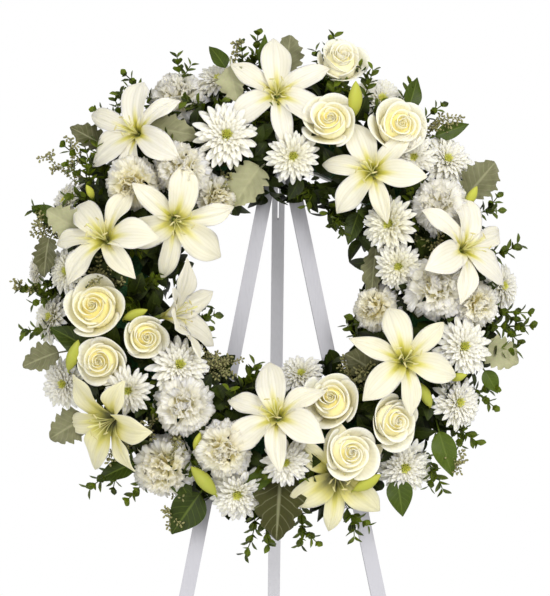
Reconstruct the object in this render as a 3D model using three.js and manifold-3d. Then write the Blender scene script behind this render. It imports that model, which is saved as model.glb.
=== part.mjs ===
// A funeral wreath of white lilies, roses, chrysanthemums and carnations on a folding wooden easel.
// Millimetres, +Z up, the wreath faces -Y. The origin is on the floor, at the middle of the object's base.
import * as THREE from "three";
import { mergeVertices } from "three/addons/utils/BufferGeometryUtils.js";
import Module from "manifold-3d";

const wasm = await Module();
wasm.setup();

// ---------------------------------------------------------------- driving dimensions
const GAP = 0.3; // clearance between touching pieces
const LEAN = THREE.MathUtils.degToRad(8); // the front legs and the wreath lean back by this
const REAR_SPLAY = THREE.MathUtils.degToRad(17); // the rear leg from the vertical, standing

const LEG_WIDTH = 20;
const LEG_THICK = 12;
const LEG_SLOPE = 0.199; // sideways run of a front leg for each unit of height
const LEG_TOP = 1217; // height of the front legs' tips, along their own plane
const REAR_WIDTH = 18;

const RING_CENTRE = LEG_TOP - 260; // height of the wreath's centre, along the legs' plane
const RING_ASIDE = 8; // the wreath hangs this far left of the easel's middle
const CORE_RADIUS = 215; // the circle through the middle of the foam
const CORE_DEPTH = 20;
const FOAM_WIDTH = 70;
const FOAM_DEPTH = 42;
const TRAY_WALL = 3;
const TRAY_LIP = 14;
const COLLAR_THICK = 27; // the bed of leaves and stems that hides the foam
const STEM_RADIUS = 2.2;
const STEM_FOOT = 12; // how near a stem's cut end comes to the core circle
const RING_SIDES = 36;

const HINGE_HALF = 14; // half of the hinge's length along its pin
const HINGE_PLATE = 1.5;
const KNUCKLE_RADIUS = 3.5;
const PIN_RADIUS = 1.5;
const WIRE = 2; // binding wire

// ---------------------------------------------------------------- the blooms, as a florist would place them
// clock: degrees clockwise from the top. reach: from the wreath's centre. span: across the bloom.
// look and tilt: the clock direction that the bloom faces, and how far it turns that way from straight ahead.
// sink: how much deeper than its kind it is pushed in, or with a minus how much prouder it stands.
const BLOOMS = [
  { node: "lily_top", kind: "lily", clock: 0, reach: 262, span: 148, look: 350, tilt: 5, roll: 0, sink: 10 },
  { node: "lily_upper_left", kind: "lily", clock: 318, reach: 280, span: 150, look: 280, tilt: 28, roll: 0 },
  { node: "lily_upper_right", kind: "lily", clock: 41, reach: 202, span: 138, look: 270, tilt: 14, roll: -14, sink: 14 },
  { node: "lily_inner_left", kind: "lily", clock: 302, reach: 168, span: 152, look: 145, tilt: 25, roll: 10 },
  { node: "lily_left", kind: "lily", clock: 283, reach: 235, span: 148, look: 307, tilt: 30, roll: -30 },
  { node: "lily_inner_low", kind: "lily", clock: 254, reach: 166, span: 150, look: 84, tilt: 64, roll: -5 },
  { node: "lily_lower_left", kind: "lily", clock: 230, reach: 280, span: 150, look: 240, tilt: 50, roll: -30 },
  { node: "lily_bottom_centre", kind: "lily", clock: 180, reach: 187, span: 146, look: 322, tilt: 22, roll: -5 },
  { node: "lily_lower_right", kind: "lily", clock: 123, reach: 200, span: 144, look: 60, tilt: 6, roll: -10 },
  { node: "lily_bottom", kind: "lily", clock: 163, reach: 266, span: 146, look: 170, tilt: 20, roll: 3, sink: 22 },
  { node: "lily_right", kind: "lily", clock: 80, reach: 250, span: 148, look: 80, tilt: 32, roll: 10 },

  { node: "rose_top", kind: "rose", clock: 16, reach: 326, span: 84, look: 20, tilt: 26, roll: 0, sink: -30 },
  { node: "rose_upper_inner", kind: "rose", clock: 18, reach: 234, span: 76, look: 330, tilt: 8, roll: 40 },
  { node: "rose_upper_right", kind: "rose", clock: 38, reach: 272, span: 86, look: 60, tilt: 12, roll: 80, sink: -12 },
  { node: "rose_left", kind: "rose", clock: 262, reach: 250, span: 84, look: 290, tilt: 14, roll: 10 },
  { node: "rose_inner_left", kind: "rose", clock: 247, reach: 195, span: 64, look: 120, tilt: 14, roll: 100 },
  { node: "rose_lower_left", kind: "rose", clock: 246, reach: 262, span: 72, look: 230, tilt: 14, roll: 60 },
  { node: "rose_lower_inner", kind: "rose", clock: 156, reach: 175, span: 80, look: 315, tilt: 14, roll: 20 },
  { node: "rose_lower_right", kind: "rose", clock: 141, reach: 244, span: 74, look: 110, tilt: 26, roll: 70 },
  { node: "rose_bottom", kind: "rose", clock: 158, reach: 251, span: 80, look: 100, tilt: 10, roll: 130, sink: -4 },

  { node: "mum_upper_left", kind: "mum", clock: 341, reach: 214, span: 96, look: 90, tilt: 6, roll: 0 },
  { node: "mum_upper_left", kind: "mum", clock: 345, reach: 308, span: 72, look: 345, tilt: 35, roll: 8 },
  { node: "mum_top_inner", kind: "mum", clock: 7, reach: 176, span: 78, look: 180, tilt: 12, roll: 5 },
  { node: "mum_top_right", kind: "mum", clock: 29, reach: 308, span: 84, look: 30, tilt: 26, roll: 0 },
  { node: "mum_right_upper", kind: "mum", clock: 47, reach: 256, span: 68, look: 200, tilt: 18, roll: 4 },
  { node: "mum_right_upper", kind: "mum", clock: 53, reach: 297, span: 84, look: 50, tilt: 24, roll: 9 },
  { node: "mum_inner_right", kind: "mum", clock: 62, reach: 172, span: 84, look: 270, tilt: 26, roll: 3 },
  { node: "mum_inner_right", kind: "mum", clock: 82, reach: 166, span: 70, look: 225, tilt: 18, roll: 7 },
  { node: "mum_far_right", kind: "mum", clock: 89, reach: 316, span: 74, look: 90, tilt: 44, roll: 0 },
  { node: "mum_right_lower", kind: "mum", clock: 109, reach: 267, span: 84, look: 100, tilt: 12, roll: 6 },
  { node: "mum_right_lower", kind: "mum", clock: 123, reach: 295, span: 80, look: 95, tilt: 26, roll: 2 },
  { node: "mum_lower_right", kind: "mum", clock: 145, reach: 303, span: 84, look: 150, tilt: 16, roll: 0 },
  { node: "mum_bottom", kind: "mum", clock: 178, reach: 244, span: 70, look: 180, tilt: 8, roll: 5 },
  { node: "mum_bottom", kind: "mum", clock: 191, reach: 290, span: 82, look: 190, tilt: 25, roll: 1 },
  { node: "mum_lower_inner", kind: "mum", clock: 230, reach: 174, span: 88, look: 60, tilt: 12, roll: 4 },
  { node: "mum_lower_inner", kind: "mum", clock: 234, reach: 250, span: 70, look: 200, tilt: 12, roll: 9 },
  { node: "mum_left", kind: "mum", clock: 246, reach: 321, span: 74, look: 250, tilt: 30, roll: 3 },
  { node: "mum_left", kind: "mum", clock: 263, reach: 314, span: 78, look: 275, tilt: 48, roll: 8 },
  { node: "mum_far_left", kind: "mum", clock: 274, reach: 288, span: 72, look: 265, tilt: 36, roll: 0 },
  { node: "mum_far_left", kind: "mum", clock: 275, reach: 332, span: 58, look: 275, tilt: 70, roll: 5 },
  { node: "mum_left_upper", kind: "mum", clock: 293, reach: 318, span: 68, look: 293, tilt: 58, roll: 2 },
  { node: "mum_inner_bottom", kind: "mum", clock: 164, reach: 122, span: 68, look: 350, tilt: 26, roll: 6 },

  { node: "carnation_upper_left", kind: "carnation", clock: 320, reach: 205, span: 78, look: 330, tilt: 8, roll: 0 },
  { node: "carnation_top_left", kind: "carnation", clock: 333, reach: 304, span: 82, look: 335, tilt: 30, roll: 30 },
  { node: "carnation_left", kind: "carnation", clock: 304, reach: 240, span: 72, look: 210, tilt: 18, roll: 60 },
  { node: "carnation_inner_top", kind: "carnation", clock: 325, reach: 144, span: 64, look: 140, tilt: 36, roll: 10 },
  { node: "carnation_right_upper", kind: "carnation", clock: 64, reach: 246, span: 76, look: 300, tilt: 8, roll: 20 },
  { node: "carnation_right", kind: "carnation", clock: 92, reach: 216, span: 84, look: 60, tilt: 6, roll: 45 },
  { node: "carnation_inner_right", kind: "carnation", clock: 103, reach: 136, span: 66, look: 270, tilt: 34, roll: 15 },
  { node: "carnation_far_right", kind: "carnation", clock: 96, reach: 274, span: 66, look: 110, tilt: 24, roll: 5 },
  { node: "carnation_lower_left", kind: "carnation", clock: 212, reach: 294, span: 84, look: 215, tilt: 24, roll: 25 },
  { node: "carnation_bottom_left", kind: "carnation", clock: 198, reach: 240, span: 76, look: 180, tilt: 12, roll: 50 },
  { node: "carnation_lower_inner", kind: "carnation", clock: 217, reach: 212, span: 78, look: 190, tilt: 10, roll: 35 },
];

// How far a bloom of each kind stands off the core circle, and how much room it takes from its neighbours.
const KINDS = {
  lily: { lift: 92, crowd: 0.3, colour: "#f5f3e2", ahead: 24 },
  rose: { lift: 98, crowd: 0.5, colour: "#f3ebbf", ahead: 0 },
  mum: { lift: 96, crowd: 0.46, colour: "#f4f3ec", ahead: 0 },
  carnation: { lift: 96, crowd: 0.48, colour: "#f1ecd6", ahead: 0 },
};

// Sprigs and big leaves that stand out of the bed: clock, how far their tips reach, width.
const SPRIGS = [
  { clock: 356, tip: 356, width: 5 },
  { clock: 12, tip: 358, width: 5 },
  { clock: 37, tip: 350, width: 26 },
  { clock: 60, tip: 350, width: 30 },
  { clock: 79, tip: 338, width: 5 },
  { clock: 101, tip: 348, width: 14 },
  { clock: 134, tip: 352, width: 24 },
  { clock: 152, tip: 350, width: 26 },
  { clock: 174, tip: 358, width: 5 },
  { clock: 186, tip: 368, width: 5 },
  { clock: 202, tip: 360, width: 30 },
  { clock: 222, tip: 376, width: 5 },
  { clock: 238, tip: 366, width: 24 },
  { clock: 254, tip: 356, width: 26 },
  { clock: 269, tip: 357, width: 5 },
  { clock: 285, tip: 352, width: 28 },
  { clock: 300, tip: 362, width: 5 },
  { clock: 308, tip: 362, width: 26 },
  { clock: 324, tip: 362, width: 5 },
  { clock: 338, tip: 354, width: 5 },
  { clock: 235, tip: 100, width: 5 },
  { clock: 116, tip: 112, width: 5 },
  { clock: 350, tip: 128, width: 24 },
];

// ---------------------------------------------------------------- solids
const rad = THREE.MathUtils.degToRad;

/** A closed geometry as a manifold solid, placed by a matrix. */
function solidOf(geometry, matrix = new THREE.Matrix4()) {
  const bare = geometry.clone();
  for (const name of Object.keys(bare.attributes)) {
    if (name !== "position") bare.deleteAttribute(name);
  }
  const merged = mergeVertices(bare.applyMatrix4(matrix), 1e-3);
  const vertProperties = merged.attributes.position.array;
  const triVerts = new Uint32Array(merged.index.array);
  return new wasm.Manifold(new wasm.Mesh({ numProp: 3, vertProperties, triVerts }));
}

/** A solid's surface as a three.js geometry. */
function geometryOf(solid) {
  const mesh = solid.getMesh();
  const geometry = new THREE.BufferGeometry();
  geometry.setAttribute("position", new THREE.BufferAttribute(new Float32Array(mesh.vertProperties), 3));
  geometry.setIndex(new THREE.BufferAttribute(new Uint32Array(mesh.triVerts), 1));
  return geometry.toNonIndexed();
}

/** The largest of a solid's separate bodies, so that a cut leaves no crumbs. */
function largestBody(solid) {
  return solid.decompose().sort((a, b) => b.volume() - a.volume())[0];
}

/** Whether the boxes round two solids meet. */
function boxesMeet(a, b) {
  const p = a.boundingBox();
  const q = b.boundingBox();
  return [0, 1, 2].every((k) => p.min[k] < q.max[k] && q.min[k] < p.max[k]);
}

/** Takes away from a solid every cutter that comes near it. */
function cutBy(solid, cutters) {
  return largestBody(cutters.filter((c) => boxesMeet(solid, c)).reduce((s, c) => s.subtract(c), solid));
}

/** A box given by its two corners. */
function boxBetween(low, high) {
  const size = high.map((h, k) => h - low[k]);
  const middle = high.map((h, k) => (h + low[k]) / 2);
  return solidOf(new THREE.BoxGeometry(...size), new THREE.Matrix4().makeTranslation(...middle));
}

/** A round bar between two points. */
function bar(from, to, radius, sides = 6) {
  const along = to.clone().sub(from);
  const turn = new THREE.Quaternion().setFromUnitVectors(new THREE.Vector3(0, 1, 0), along.clone().normalize());
  const middle = from.clone().add(to).multiplyScalar(0.5);
  const matrix = new THREE.Matrix4().compose(middle, turn, new THREE.Vector3(1, 1, 1));
  return solidOf(new THREE.CylinderGeometry(radius, radius, along.length(), sides), matrix);
}

/** A ring turned about Y from a closed section of [radius, depth] points, depth counted towards the front. */
function ring(section, sides = RING_SIDES) {
  const points = [...section, section[0]].map(([radius, depth]) => new THREE.Vector2(radius, -depth));
  return solidOf(new THREE.LatheGeometry(points.reverse(), sides));
}

function meshOf(name, solid, material) {
  const mesh = new THREE.Mesh(geometryOf(solid), material);
  mesh.name = name;
  return mesh;
}

function matt(colour, roughness = 0.6) {
  return new THREE.MeshStandardMaterial({ color: colour, roughness, metalness: 0 });
}

const whitePaint = matt("#dcdce0", 0.45);
const steel = new THREE.MeshStandardMaterial({ color: "#b9b9b6", roughness: 0.35, metalness: 1 });
const greenWire = matt("#1f3a22", 0.4);

// ---------------------------------------------------------------- bloom heads, each about its own +Y
/** The profile of a round head, from its base to its crown, as shares of its radius. */
const PROFILES = {
  rose: [[0, -0.9], [0.5, -0.78], [0.94, -0.3], [1, 0.15], [0.72, 0.56], [0, 0.66]],
  mum: [[0, -0.42], [0.3, -0.4], [1, -0.02], [0.86, 0.26], [0.4, 0.5], [0, 0.46]],
  carnation: [[0, -0.95], [0.22, -0.86], [0.36, -0.45], [0.98, -0.06], [0.92, 0.34], [0.5, 0.62], [0, 0.64]],
};

function roundHead(kind, span) {
  const points = PROFILES[kind].map(([x, y]) => new THREE.Vector2((x * span) / 2, (y * span) / 2));
  return new THREE.LatheGeometry(points, 10);
}

/** A lily: a six-pointed funnel, its tips and notches taking turns round the axis. */
function lilyHead(span) {
  const radius = span / 2;
  const rings = [
    { height: 4, tip: 8, notch: 8 },
    { height: 30, tip: 0.55 * radius, notch: 0.34 * radius },
    { height: 40, tip: radius, notch: 0.42 * radius },
  ];
  const positions = [0, -4, 0];
  for (const { height, tip, notch } of rings) {
    for (let k = 0; k < 12; k++) {
      const reach = k % 2 ? notch : tip;
      positions.push(reach * Math.cos(rad(30 * k)), height, reach * Math.sin(rad(30 * k)));
    }
  }
  positions.push(0, 26, 0);
  const at = (level, k) => 1 + 12 * level + (k % 12);
  const front = 1 + 12 * rings.length;
  const faces = [];
  for (let k = 0; k < 12; k++) {
    faces.push(0, at(0, k), at(0, k + 1));
    for (let level = 0; level < rings.length - 1; level++) {
      faces.push(at(level, k), at(level + 1, k), at(level + 1, k + 1));
      faces.push(at(level, k), at(level + 1, k + 1), at(level, k + 1));
    }
    faces.push(at(rings.length - 1, k), front, at(rings.length - 1, k + 1));
  }
  const geometry = new THREE.BufferGeometry();
  geometry.setAttribute("position", new THREE.Float32BufferAttribute(positions, 3));
  geometry.setIndex(faces);
  return geometry;
}

// ---------------------------------------------------------------- where a bloom sits
function onRing(clock, reach, depth) {
  return new THREE.Vector3(reach * Math.sin(rad(clock)), -depth, reach * Math.cos(rad(clock)));
}

/** A bloom's place: its anchor, the way it faces, and its matrix. */
function placeOf(bloom) {
  const lift = KINDS[bloom.kind].lift - (bloom.sink ?? 0);
  const across = bloom.reach - CORE_RADIUS;
  const depth = CORE_DEPTH + Math.sqrt(Math.max(lift * lift - across * across, 18 * 18));
  const anchor = onRing(bloom.clock, bloom.reach, depth);
  const look = rad(bloom.look);
  const tilt = rad(bloom.tilt);
  const facing = new THREE.Vector3(
    Math.sin(look) * Math.sin(tilt),
    -Math.cos(tilt),
    Math.cos(look) * Math.sin(tilt),
  );
  const first = new THREE.Vector3(Math.sin(rad(bloom.roll)), 0, Math.cos(rad(bloom.roll)));
  first.addScaledVector(facing, -first.dot(facing)).normalize();
  const side = first.clone().cross(facing);
  const matrix = new THREE.Matrix4().makeBasis(first, facing, side).setPosition(anchor);
  return { anchor, facing, matrix };
}

/** The planted bloom: its head, the stem that carries it, and the ball that stands for the room it takes. */
function plant(bloom) {
  const { crowd, ahead } = KINDS[bloom.kind];
  const { anchor, facing, matrix } = placeOf(bloom);
  const shape = bloom.kind === "lily" ? lilyHead(bloom.span) : roundHead(bloom.kind, bloom.span);
  const core = onRing(bloom.clock, CORE_RADIUS, CORE_DEPTH);
  const foot = core.clone().addScaledVector(anchor.clone().sub(core).normalize(), STEM_FOOT);
  return {
    ...bloom,
    anchor,
    foot,
    head: solidOf(shape, matrix),
    ball: { centre: anchor.clone().addScaledVector(facing, ahead), radius: crowd * bloom.span },
  };
}

/** Keeps the part of a head on its own side of the plane that parts it from a neighbour. */
function pressAgainst(head, own, other) {
  const away = other.centre.clone().sub(own.centre);
  const distance = away.length();
  away.normalize();
  const share = (distance * distance + own.radius ** 2 - other.radius ** 2) / (2 * distance);
  const limit = Math.min(Math.max(share, 0.25 * distance), 0.75 * distance) - GAP;
  const offset = away.dot(own.centre) + limit;
  return head.trimByPlane([-away.x, -away.y, -away.z], -offset);
}

function buildBlooms() {
  const planted = BLOOMS.map(plant);
  // The blooms of one spray share a foot, where their stems join.
  for (const bloom of planted) {
    bloom.foot = planted.find((other) => other.node === bloom.node).foot;
    bloom.stem = bar(bloom.foot, bloom.anchor, STEM_RADIUS);
    bloom.sleeve = bar(bloom.foot, bloom.anchor, STEM_RADIUS + 2 * GAP);
  }
  const heads = planted.map((own) =>
    planted
      .filter((other) => other !== own && boxesMeet(own.head, other.head))
      .reduce((head, other) => pressAgainst(head, own.ball, other.ball), own.head),
  );
  const nodes = new Map();
  planted.forEach((own, i) => {
    const sleeves = planted.filter((other) => other.node !== own.node).map((other) => other.sleeve);
    const solid = cutBy(heads[i], sleeves).add(own.stem);
    nodes.set(own.node, nodes.has(own.node) ? nodes.get(own.node).solid.add(solid) : solid);
    nodes.set(own.node, { kind: own.kind, solid: nodes.get(own.node) });
  });
  return { nodes, planted, heads };
}

// ---------------------------------------------------------------- the ring
function foamRing() {
  const inner = CORE_RADIUS - FOAM_WIDTH / 2;
  const outer = CORE_RADIUS + FOAM_WIDTH / 2;
  const back = TRAY_WALL + GAP;
  const front = back + FOAM_DEPTH;
  const round = 12;
  return ring([
    [inner, back],
    [outer, back],
    [outer, front - round],
    [outer - round, front],
    [inner + round, front],
    [inner, front - round],
  ]);
}

function ringTray() {
  const inner = CORE_RADIUS - FOAM_WIDTH / 2 - GAP;
  const outer = CORE_RADIUS + FOAM_WIDTH / 2 + GAP;
  return ring([
    [inner - TRAY_WALL, 0],
    [outer + TRAY_WALL, 0],
    [outer + TRAY_WALL, TRAY_LIP],
    [outer, TRAY_LIP],
    [outer, TRAY_WALL],
    [inner, TRAY_WALL],
    [inner, TRAY_LIP],
    [inner - TRAY_WALL, TRAY_LIP],
  ]);
}

/** The bed of leaves: a channel over the front and sides of the foam. */
function leafBed() {
  const inner = CORE_RADIUS - FOAM_WIDTH / 2 - TRAY_WALL - 2 * GAP;
  const outer = CORE_RADIUS + FOAM_WIDTH / 2 + TRAY_WALL + 2 * GAP;
  const front = TRAY_WALL + FOAM_DEPTH + 2 * GAP;
  const back = 2;
  const slope = 22;
  return ring([
    [outer, back],
    [outer + COLLAR_THICK, back],
    [outer + COLLAR_THICK, front - 8],
    [outer + COLLAR_THICK - slope, front + slope],
    [inner - COLLAR_THICK + slope, front + slope],
    [inner - COLLAR_THICK, front - 8],
    [inner - COLLAR_THICK, back],
    [inner, back],
    [inner, front],
    [outer, front],
  ]);
}

/** A sprig or leaf that stands out of the bed: a flat tapered blade. */
function sprigSolid({ clock, tip, width }) {
  const outwards = tip > CORE_RADIUS;
  const root = CORE_RADIUS + (outwards ? 1 : -1) * (FOAM_WIDTH / 2 + 12);
  const shoulder = root + (tip - root) * 0.55;
  const shape = new THREE.Shape([
    new THREE.Vector2(-width / 3, root),
    new THREE.Vector2(width / 3, root),
    new THREE.Vector2(width / 2, shoulder),
    new THREE.Vector2(1, tip),
    new THREE.Vector2(-1, tip),
    new THREE.Vector2(-width / 2, shoulder),
  ]);
  const blade = new THREE.ExtrudeGeometry(shape, { depth: 2.4, bevelEnabled: false });
  // The shape's X is across the blade and its Y runs out of the ring. Its depth becomes the ring's depth.
  const stand = new THREE.Matrix4().makeRotationX(Math.PI / 2).setPosition(0, -14, 0);
  const turned = new THREE.Matrix4().makeRotationY(rad(clock)).multiply(stand);
  const solid = solidOf(blade, turned);
  return solid.volume() < 0 ? solidOf(blade.scale(-1, 1, 1), turned) : solid;
}

// ---------------------------------------------------------------- binding wires
/** A wire pushed through the foam and closed behind the legs, as a flat loop at one height. */
function wireLoop(centreX, halfWidth, height) {
  const front = -(TRAY_WALL + 16);
  const back = LEG_THICK + GAP;
  const outer = boxBetween(
    [centreX - halfWidth - WIRE, front - WIRE, height - WIRE / 2],
    [centreX + halfWidth + WIRE, back + WIRE, height + WIRE / 2],
  );
  const hole = boxBetween(
    [centreX - halfWidth, front, height - WIRE],
    [centreX + halfWidth, back, height + WIRE],
  );
  return outer.subtract(hole);
}

/** The same wire's path with room round it, to cut the foam and tray by. */
function wireSleeve(centreX, halfWidth, height) {
  const room = WIRE / 2 + GAP;
  const front = -(TRAY_WALL + 16) - WIRE / 2;
  const middle = halfWidth + WIRE / 2;
  const bars = [
    boxBetween(
      [centreX - middle - room, front - room, height - room],
      [centreX + middle + room, front + room, height + room],
    ),
  ];
  for (const side of [-1, 1]) {
    const x = centreX + side * middle;
    bars.push(boxBetween([x - room, front - room, height - room], [x + room, 5, height + room]));
  }
  return bars.reduce((a, b) => a.add(b));
}

// ---------------------------------------------------------------- the easel, in the front legs' own plane
const LEG_HALF = LEG_WIDTH / 2 / Math.cos(Math.atan(LEG_SLOPE)); // half of a leg's width, measured level
const APEX = LEG_TOP - 15; // height where the legs' centre lines meet

function legCentre(height) {
  return (APEX - height) * LEG_SLOPE;
}

/** A front leg: a batten mitred against its twin at the top and cut level with the floor at the foot. */
function frontLeg(side) {
  const below = -40;
  const mitre = APEX - LEG_HALF / LEG_SLOPE;
  const shape = new THREE.Shape([
    new THREE.Vector2(legCentre(below) - LEG_HALF, below),
    new THREE.Vector2(legCentre(below) + LEG_HALF, below),
    new THREE.Vector2(legCentre(LEG_TOP) + LEG_HALF, LEG_TOP),
    new THREE.Vector2(GAP / 2, LEG_TOP),
    new THREE.Vector2(GAP / 2, mitre),
  ]);
  const batten = new THREE.ExtrudeGeometry(shape, { depth: LEG_THICK, bevelEnabled: false });
  const upright = new THREE.Matrix4().makeRotationX(Math.PI / 2).setPosition(0, LEG_THICK, 0);
  const solid = solidOf(batten, upright).trimByPlane([0, -Math.sin(LEAN), Math.cos(LEAN)], 0);
  return side > 0 ? solid : solid.mirror([1, 0, 0]);
}

const BLOCK_BACK = LEG_THICK + GAP + 18;
const REAR_TOP = 4.5; // how far below the pin the rear leg's end is
const SLOT = { half: 1.1, high: 44, low: 109 }; // the sawn slot below the hinge, measured down from the pin
const PIVOT = { y: BLOCK_BACK + GAP + KNUCKLE_RADIUS, z: LEG_TOP - 44 };

function headBlock() {
  return boxBetween([-24, LEG_THICK + GAP, LEG_TOP - 50], [24, BLOCK_BACK, LEG_TOP - 4]);
}

/** The wooden stop above the rear leg's end: the leg's top edge bears against it when the easel stands open. */
function stopBlock() {
  const plate = BLOCK_BACK + GAP + HINGE_PLATE + GAP;
  const open = LEAN + REAR_SPLAY;
  const edge = (KNUCKLE_RADIUS + GAP + LEG_THICK) * Math.sin(open) - REAR_TOP * Math.cos(open);
  const low = PIVOT.z + edge + GAP;
  const lip = boxBetween([-12, PIVOT.y + KNUCKLE_RADIUS + 2, low], [12, PIVOT.y + 20, low + 8]);
  return boxBetween([-12, plate, low + 4], [12, PIVOT.y + 20, PIVOT.z + 30]).add(lip);
}

/** A knuckle of the hinge, round the pin between two places along X. */
function knuckle(from, to) {
  const tube = bar(new THREE.Vector3(from, 0, 0), new THREE.Vector3(to, 0, 0), KNUCKLE_RADIUS, 12);
  const bore = bar(new THREE.Vector3(from - 1, 0, 0), new THREE.Vector3(to + 1, 0, 0), PIN_RADIUS + GAP, 12);
  return { tube, bore };
}

/** A hinge leaf about the pin: a plate that rises or hangs from its knuckles. */
function hingeLeaf(rows, plate) {
  const solids = rows.map(([from, to]) => knuckle(from, to));
  const joined = solids.reduce((leaf, { tube }) => leaf.add(tube), plate);
  return solids.reduce((leaf, { bore }) => leaf.subtract(bore), joined);
}

const LEAF_BACK = -KNUCKLE_RADIUS; // the fixed leaf's plate lies on the head block's back

function fixedLeaf() {
  const rows = [[-HINGE_HALF, -5], [5, HINGE_HALF]];
  const tall = boxBetween([-HINGE_HALF, LEAF_BACK, 4.5], [HINGE_HALF, LEAF_BACK + HINGE_PLATE, 40]);
  const necks = rows.map(([from, to]) =>
    boxBetween([from, LEAF_BACK, 0], [to, LEAF_BACK + HINGE_PLATE, 5]),
  );
  return hingeLeaf(rows, necks.reduce((a, b) => a.add(b), tall));
}

function swingingLeaf() {
  const rows = [[-5 + GAP, 5 - GAP]];
  const low = KNUCKLE_RADIUS - HINGE_PLATE;
  const half = REAR_WIDTH / 2 - 1;
  const plate = boxBetween([-half, low, -40], [half, low + HINGE_PLATE, -4.5]);
  const neck = boxBetween([-5 + GAP, low, -5], [5 - GAP, low + HINGE_PLATE, 0]);
  return hingeLeaf(rows, plate.add(neck));
}

/** The rear leg about the pin, hanging behind the swinging leaf, cut level with the floor at its foot. */
function rearLeg(pivotHeight) {
  const front = KNUCKLE_RADIUS + GAP;
  const half = REAR_WIDTH / 2;
  const slot = boxBetween([-SLOT.half, front - 1, -SLOT.low], [SLOT.half, front + LEG_THICK + 1, -SLOT.high]);
  return boxBetween([-half, front, -pivotHeight * 1.2], [half, front + LEG_THICK, -REAR_TOP])
    .trimByPlane([0, Math.sin(REAR_SPLAY), Math.cos(REAR_SPLAY)], -pivotHeight)
    .subtract(slot);
}

// One wire round both legs under their apex carries the weight: the legs spread too wide for it to slide down.
// The two low ones stop the ring from swinging.
const LOW_TIE = -214;
const TIES = [
  { name: "binding_wire_top", x: RING_ASIDE, half: 23, height: 190 },
  { name: "binding_wire_left", x: RING_ASIDE - legCentre(RING_CENTRE + LOW_TIE), half: 12, height: LOW_TIE },
  { name: "binding_wire_right", x: RING_ASIDE + legCentre(RING_CENTRE + LOW_TIE), half: 12, height: LOW_TIE },
];

// ---------------------------------------------------------------- assembly
const wreath = new THREE.Group();
wreath.position.set(-RING_ASIDE, -GAP, RING_CENTRE);
const stand = new THREE.Group();
stand.rotation.x = -LEAN;
stand.add(wreath);

const { nodes: bloomNodes, planted, heads } = buildBlooms();
for (const [name, { kind, solid }] of bloomNodes) {
  wreath.add(meshOf(name, solid, matt(KINDS[kind].colour, 0.55)));
}

const sleeves = planted.map((bloom) => bloom.sleeve);
const tieSleeves = TIES.map(({ x, half, height }) => wireSleeve(x, half, height));
wreath.add(meshOf("foam_ring", cutBy(foamRing(), [...sleeves, ...tieSleeves]), matt("#2f5a35", 0.95)));
wreath.add(meshOf("ring_tray", cutBy(ringTray(), [...sleeves, ...tieSleeves]), matt("#e7e8e4", 0.5)));

/** A head grown a little about its own middle, to cut the bed with room to spare. */
function grown(solid, middle) {
  return solid
    .translate([-middle.x, -middle.y, -middle.z])
    .scale(1.02)
    .translate([middle.x, middle.y, middle.z]);
}
const grownHeads = planted.map((bloom, i) => grown(heads[i], bloom.ball.centre));
const bed = SPRIGS.map(sprigSolid).reduce((a, b) => a.add(b), leafBed());
const bedCutters = [...grownHeads, ...sleeves, ...tieSleeves];
wreath.add(meshOf("leaf_bed", cutBy(bed, bedCutters), matt("#33502c", 0.7)));

for (const { name, x, half, height } of TIES) {
  wreath.add(meshOf(name, wireLoop(x, half, height), greenWire));
}

stand.add(meshOf("front_leg_left", frontLeg(-1), whitePaint));
stand.add(meshOf("front_leg_right", frontLeg(1), whitePaint));
stand.add(meshOf("head_block", headBlock(), whitePaint));
stand.add(meshOf("stop_block", stopBlock(), whitePaint));

const fixedLeafMesh = meshOf("hinge_leaf_fixed", fixedLeaf(), steel);
fixedLeafMesh.position.set(0, PIVOT.y, PIVOT.z);
stand.add(fixedLeafMesh);
const pin = bar(
  new THREE.Vector3(-HINGE_HALF - 1, 0, 0),
  new THREE.Vector3(HINGE_HALF + 1, 0, 0),
  PIN_RADIUS,
  12,
);
const pinMesh = meshOf("hinge_pin", pin, steel);
pinMesh.position.set(0, PIVOT.y, PIVOT.z);
stand.add(pinMesh);

const pivotHeight = PIVOT.z * Math.cos(LEAN) - PIVOT.y * Math.sin(LEAN);
const pivotBack = PIVOT.y * Math.cos(LEAN) + PIVOT.z * Math.sin(LEAN);
const rear = new THREE.Group();
rear.position.set(0, pivotBack, pivotHeight);
rear.rotation.x = REAR_SPLAY;
rear.add(meshOf("hinge_leaf_swinging", swingingLeaf(), steel));
rear.add(meshOf("rear_leg", rearLeg(pivotHeight), whitePaint));

const object = new THREE.Group();
object.add(stand, rear);

// The origin moves to the middle of the base of the whole object's box.
const bounds = new THREE.Box3().setFromObject(object, true);
const middle = bounds.getCenter(new THREE.Vector3());
object.position.set(-middle.x, -middle.y, -bounds.min.z);
const funeralWreath = new THREE.Group();
funeralWreath.add(object);

export default funeralWreath;
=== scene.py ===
"""A funeral wreath of white flowers on a folding wooden easel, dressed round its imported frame.

Everything is in metres, +Z up. The wreath leans back a little and faces -Y. Each flower stands for
one CAD node, and the foliage between them stands for the CAD bed of leaves.
"""

import logging
import math
from dataclasses import dataclass, field
from enum import Enum
from functools import partial
from typing import Callable, Sequence

import bpy
import numpy as np
from bpy.types import Material, Mesh, Node, NodeSocket, NodeTree, Object
from mathutils import Matrix, Vector

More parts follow.
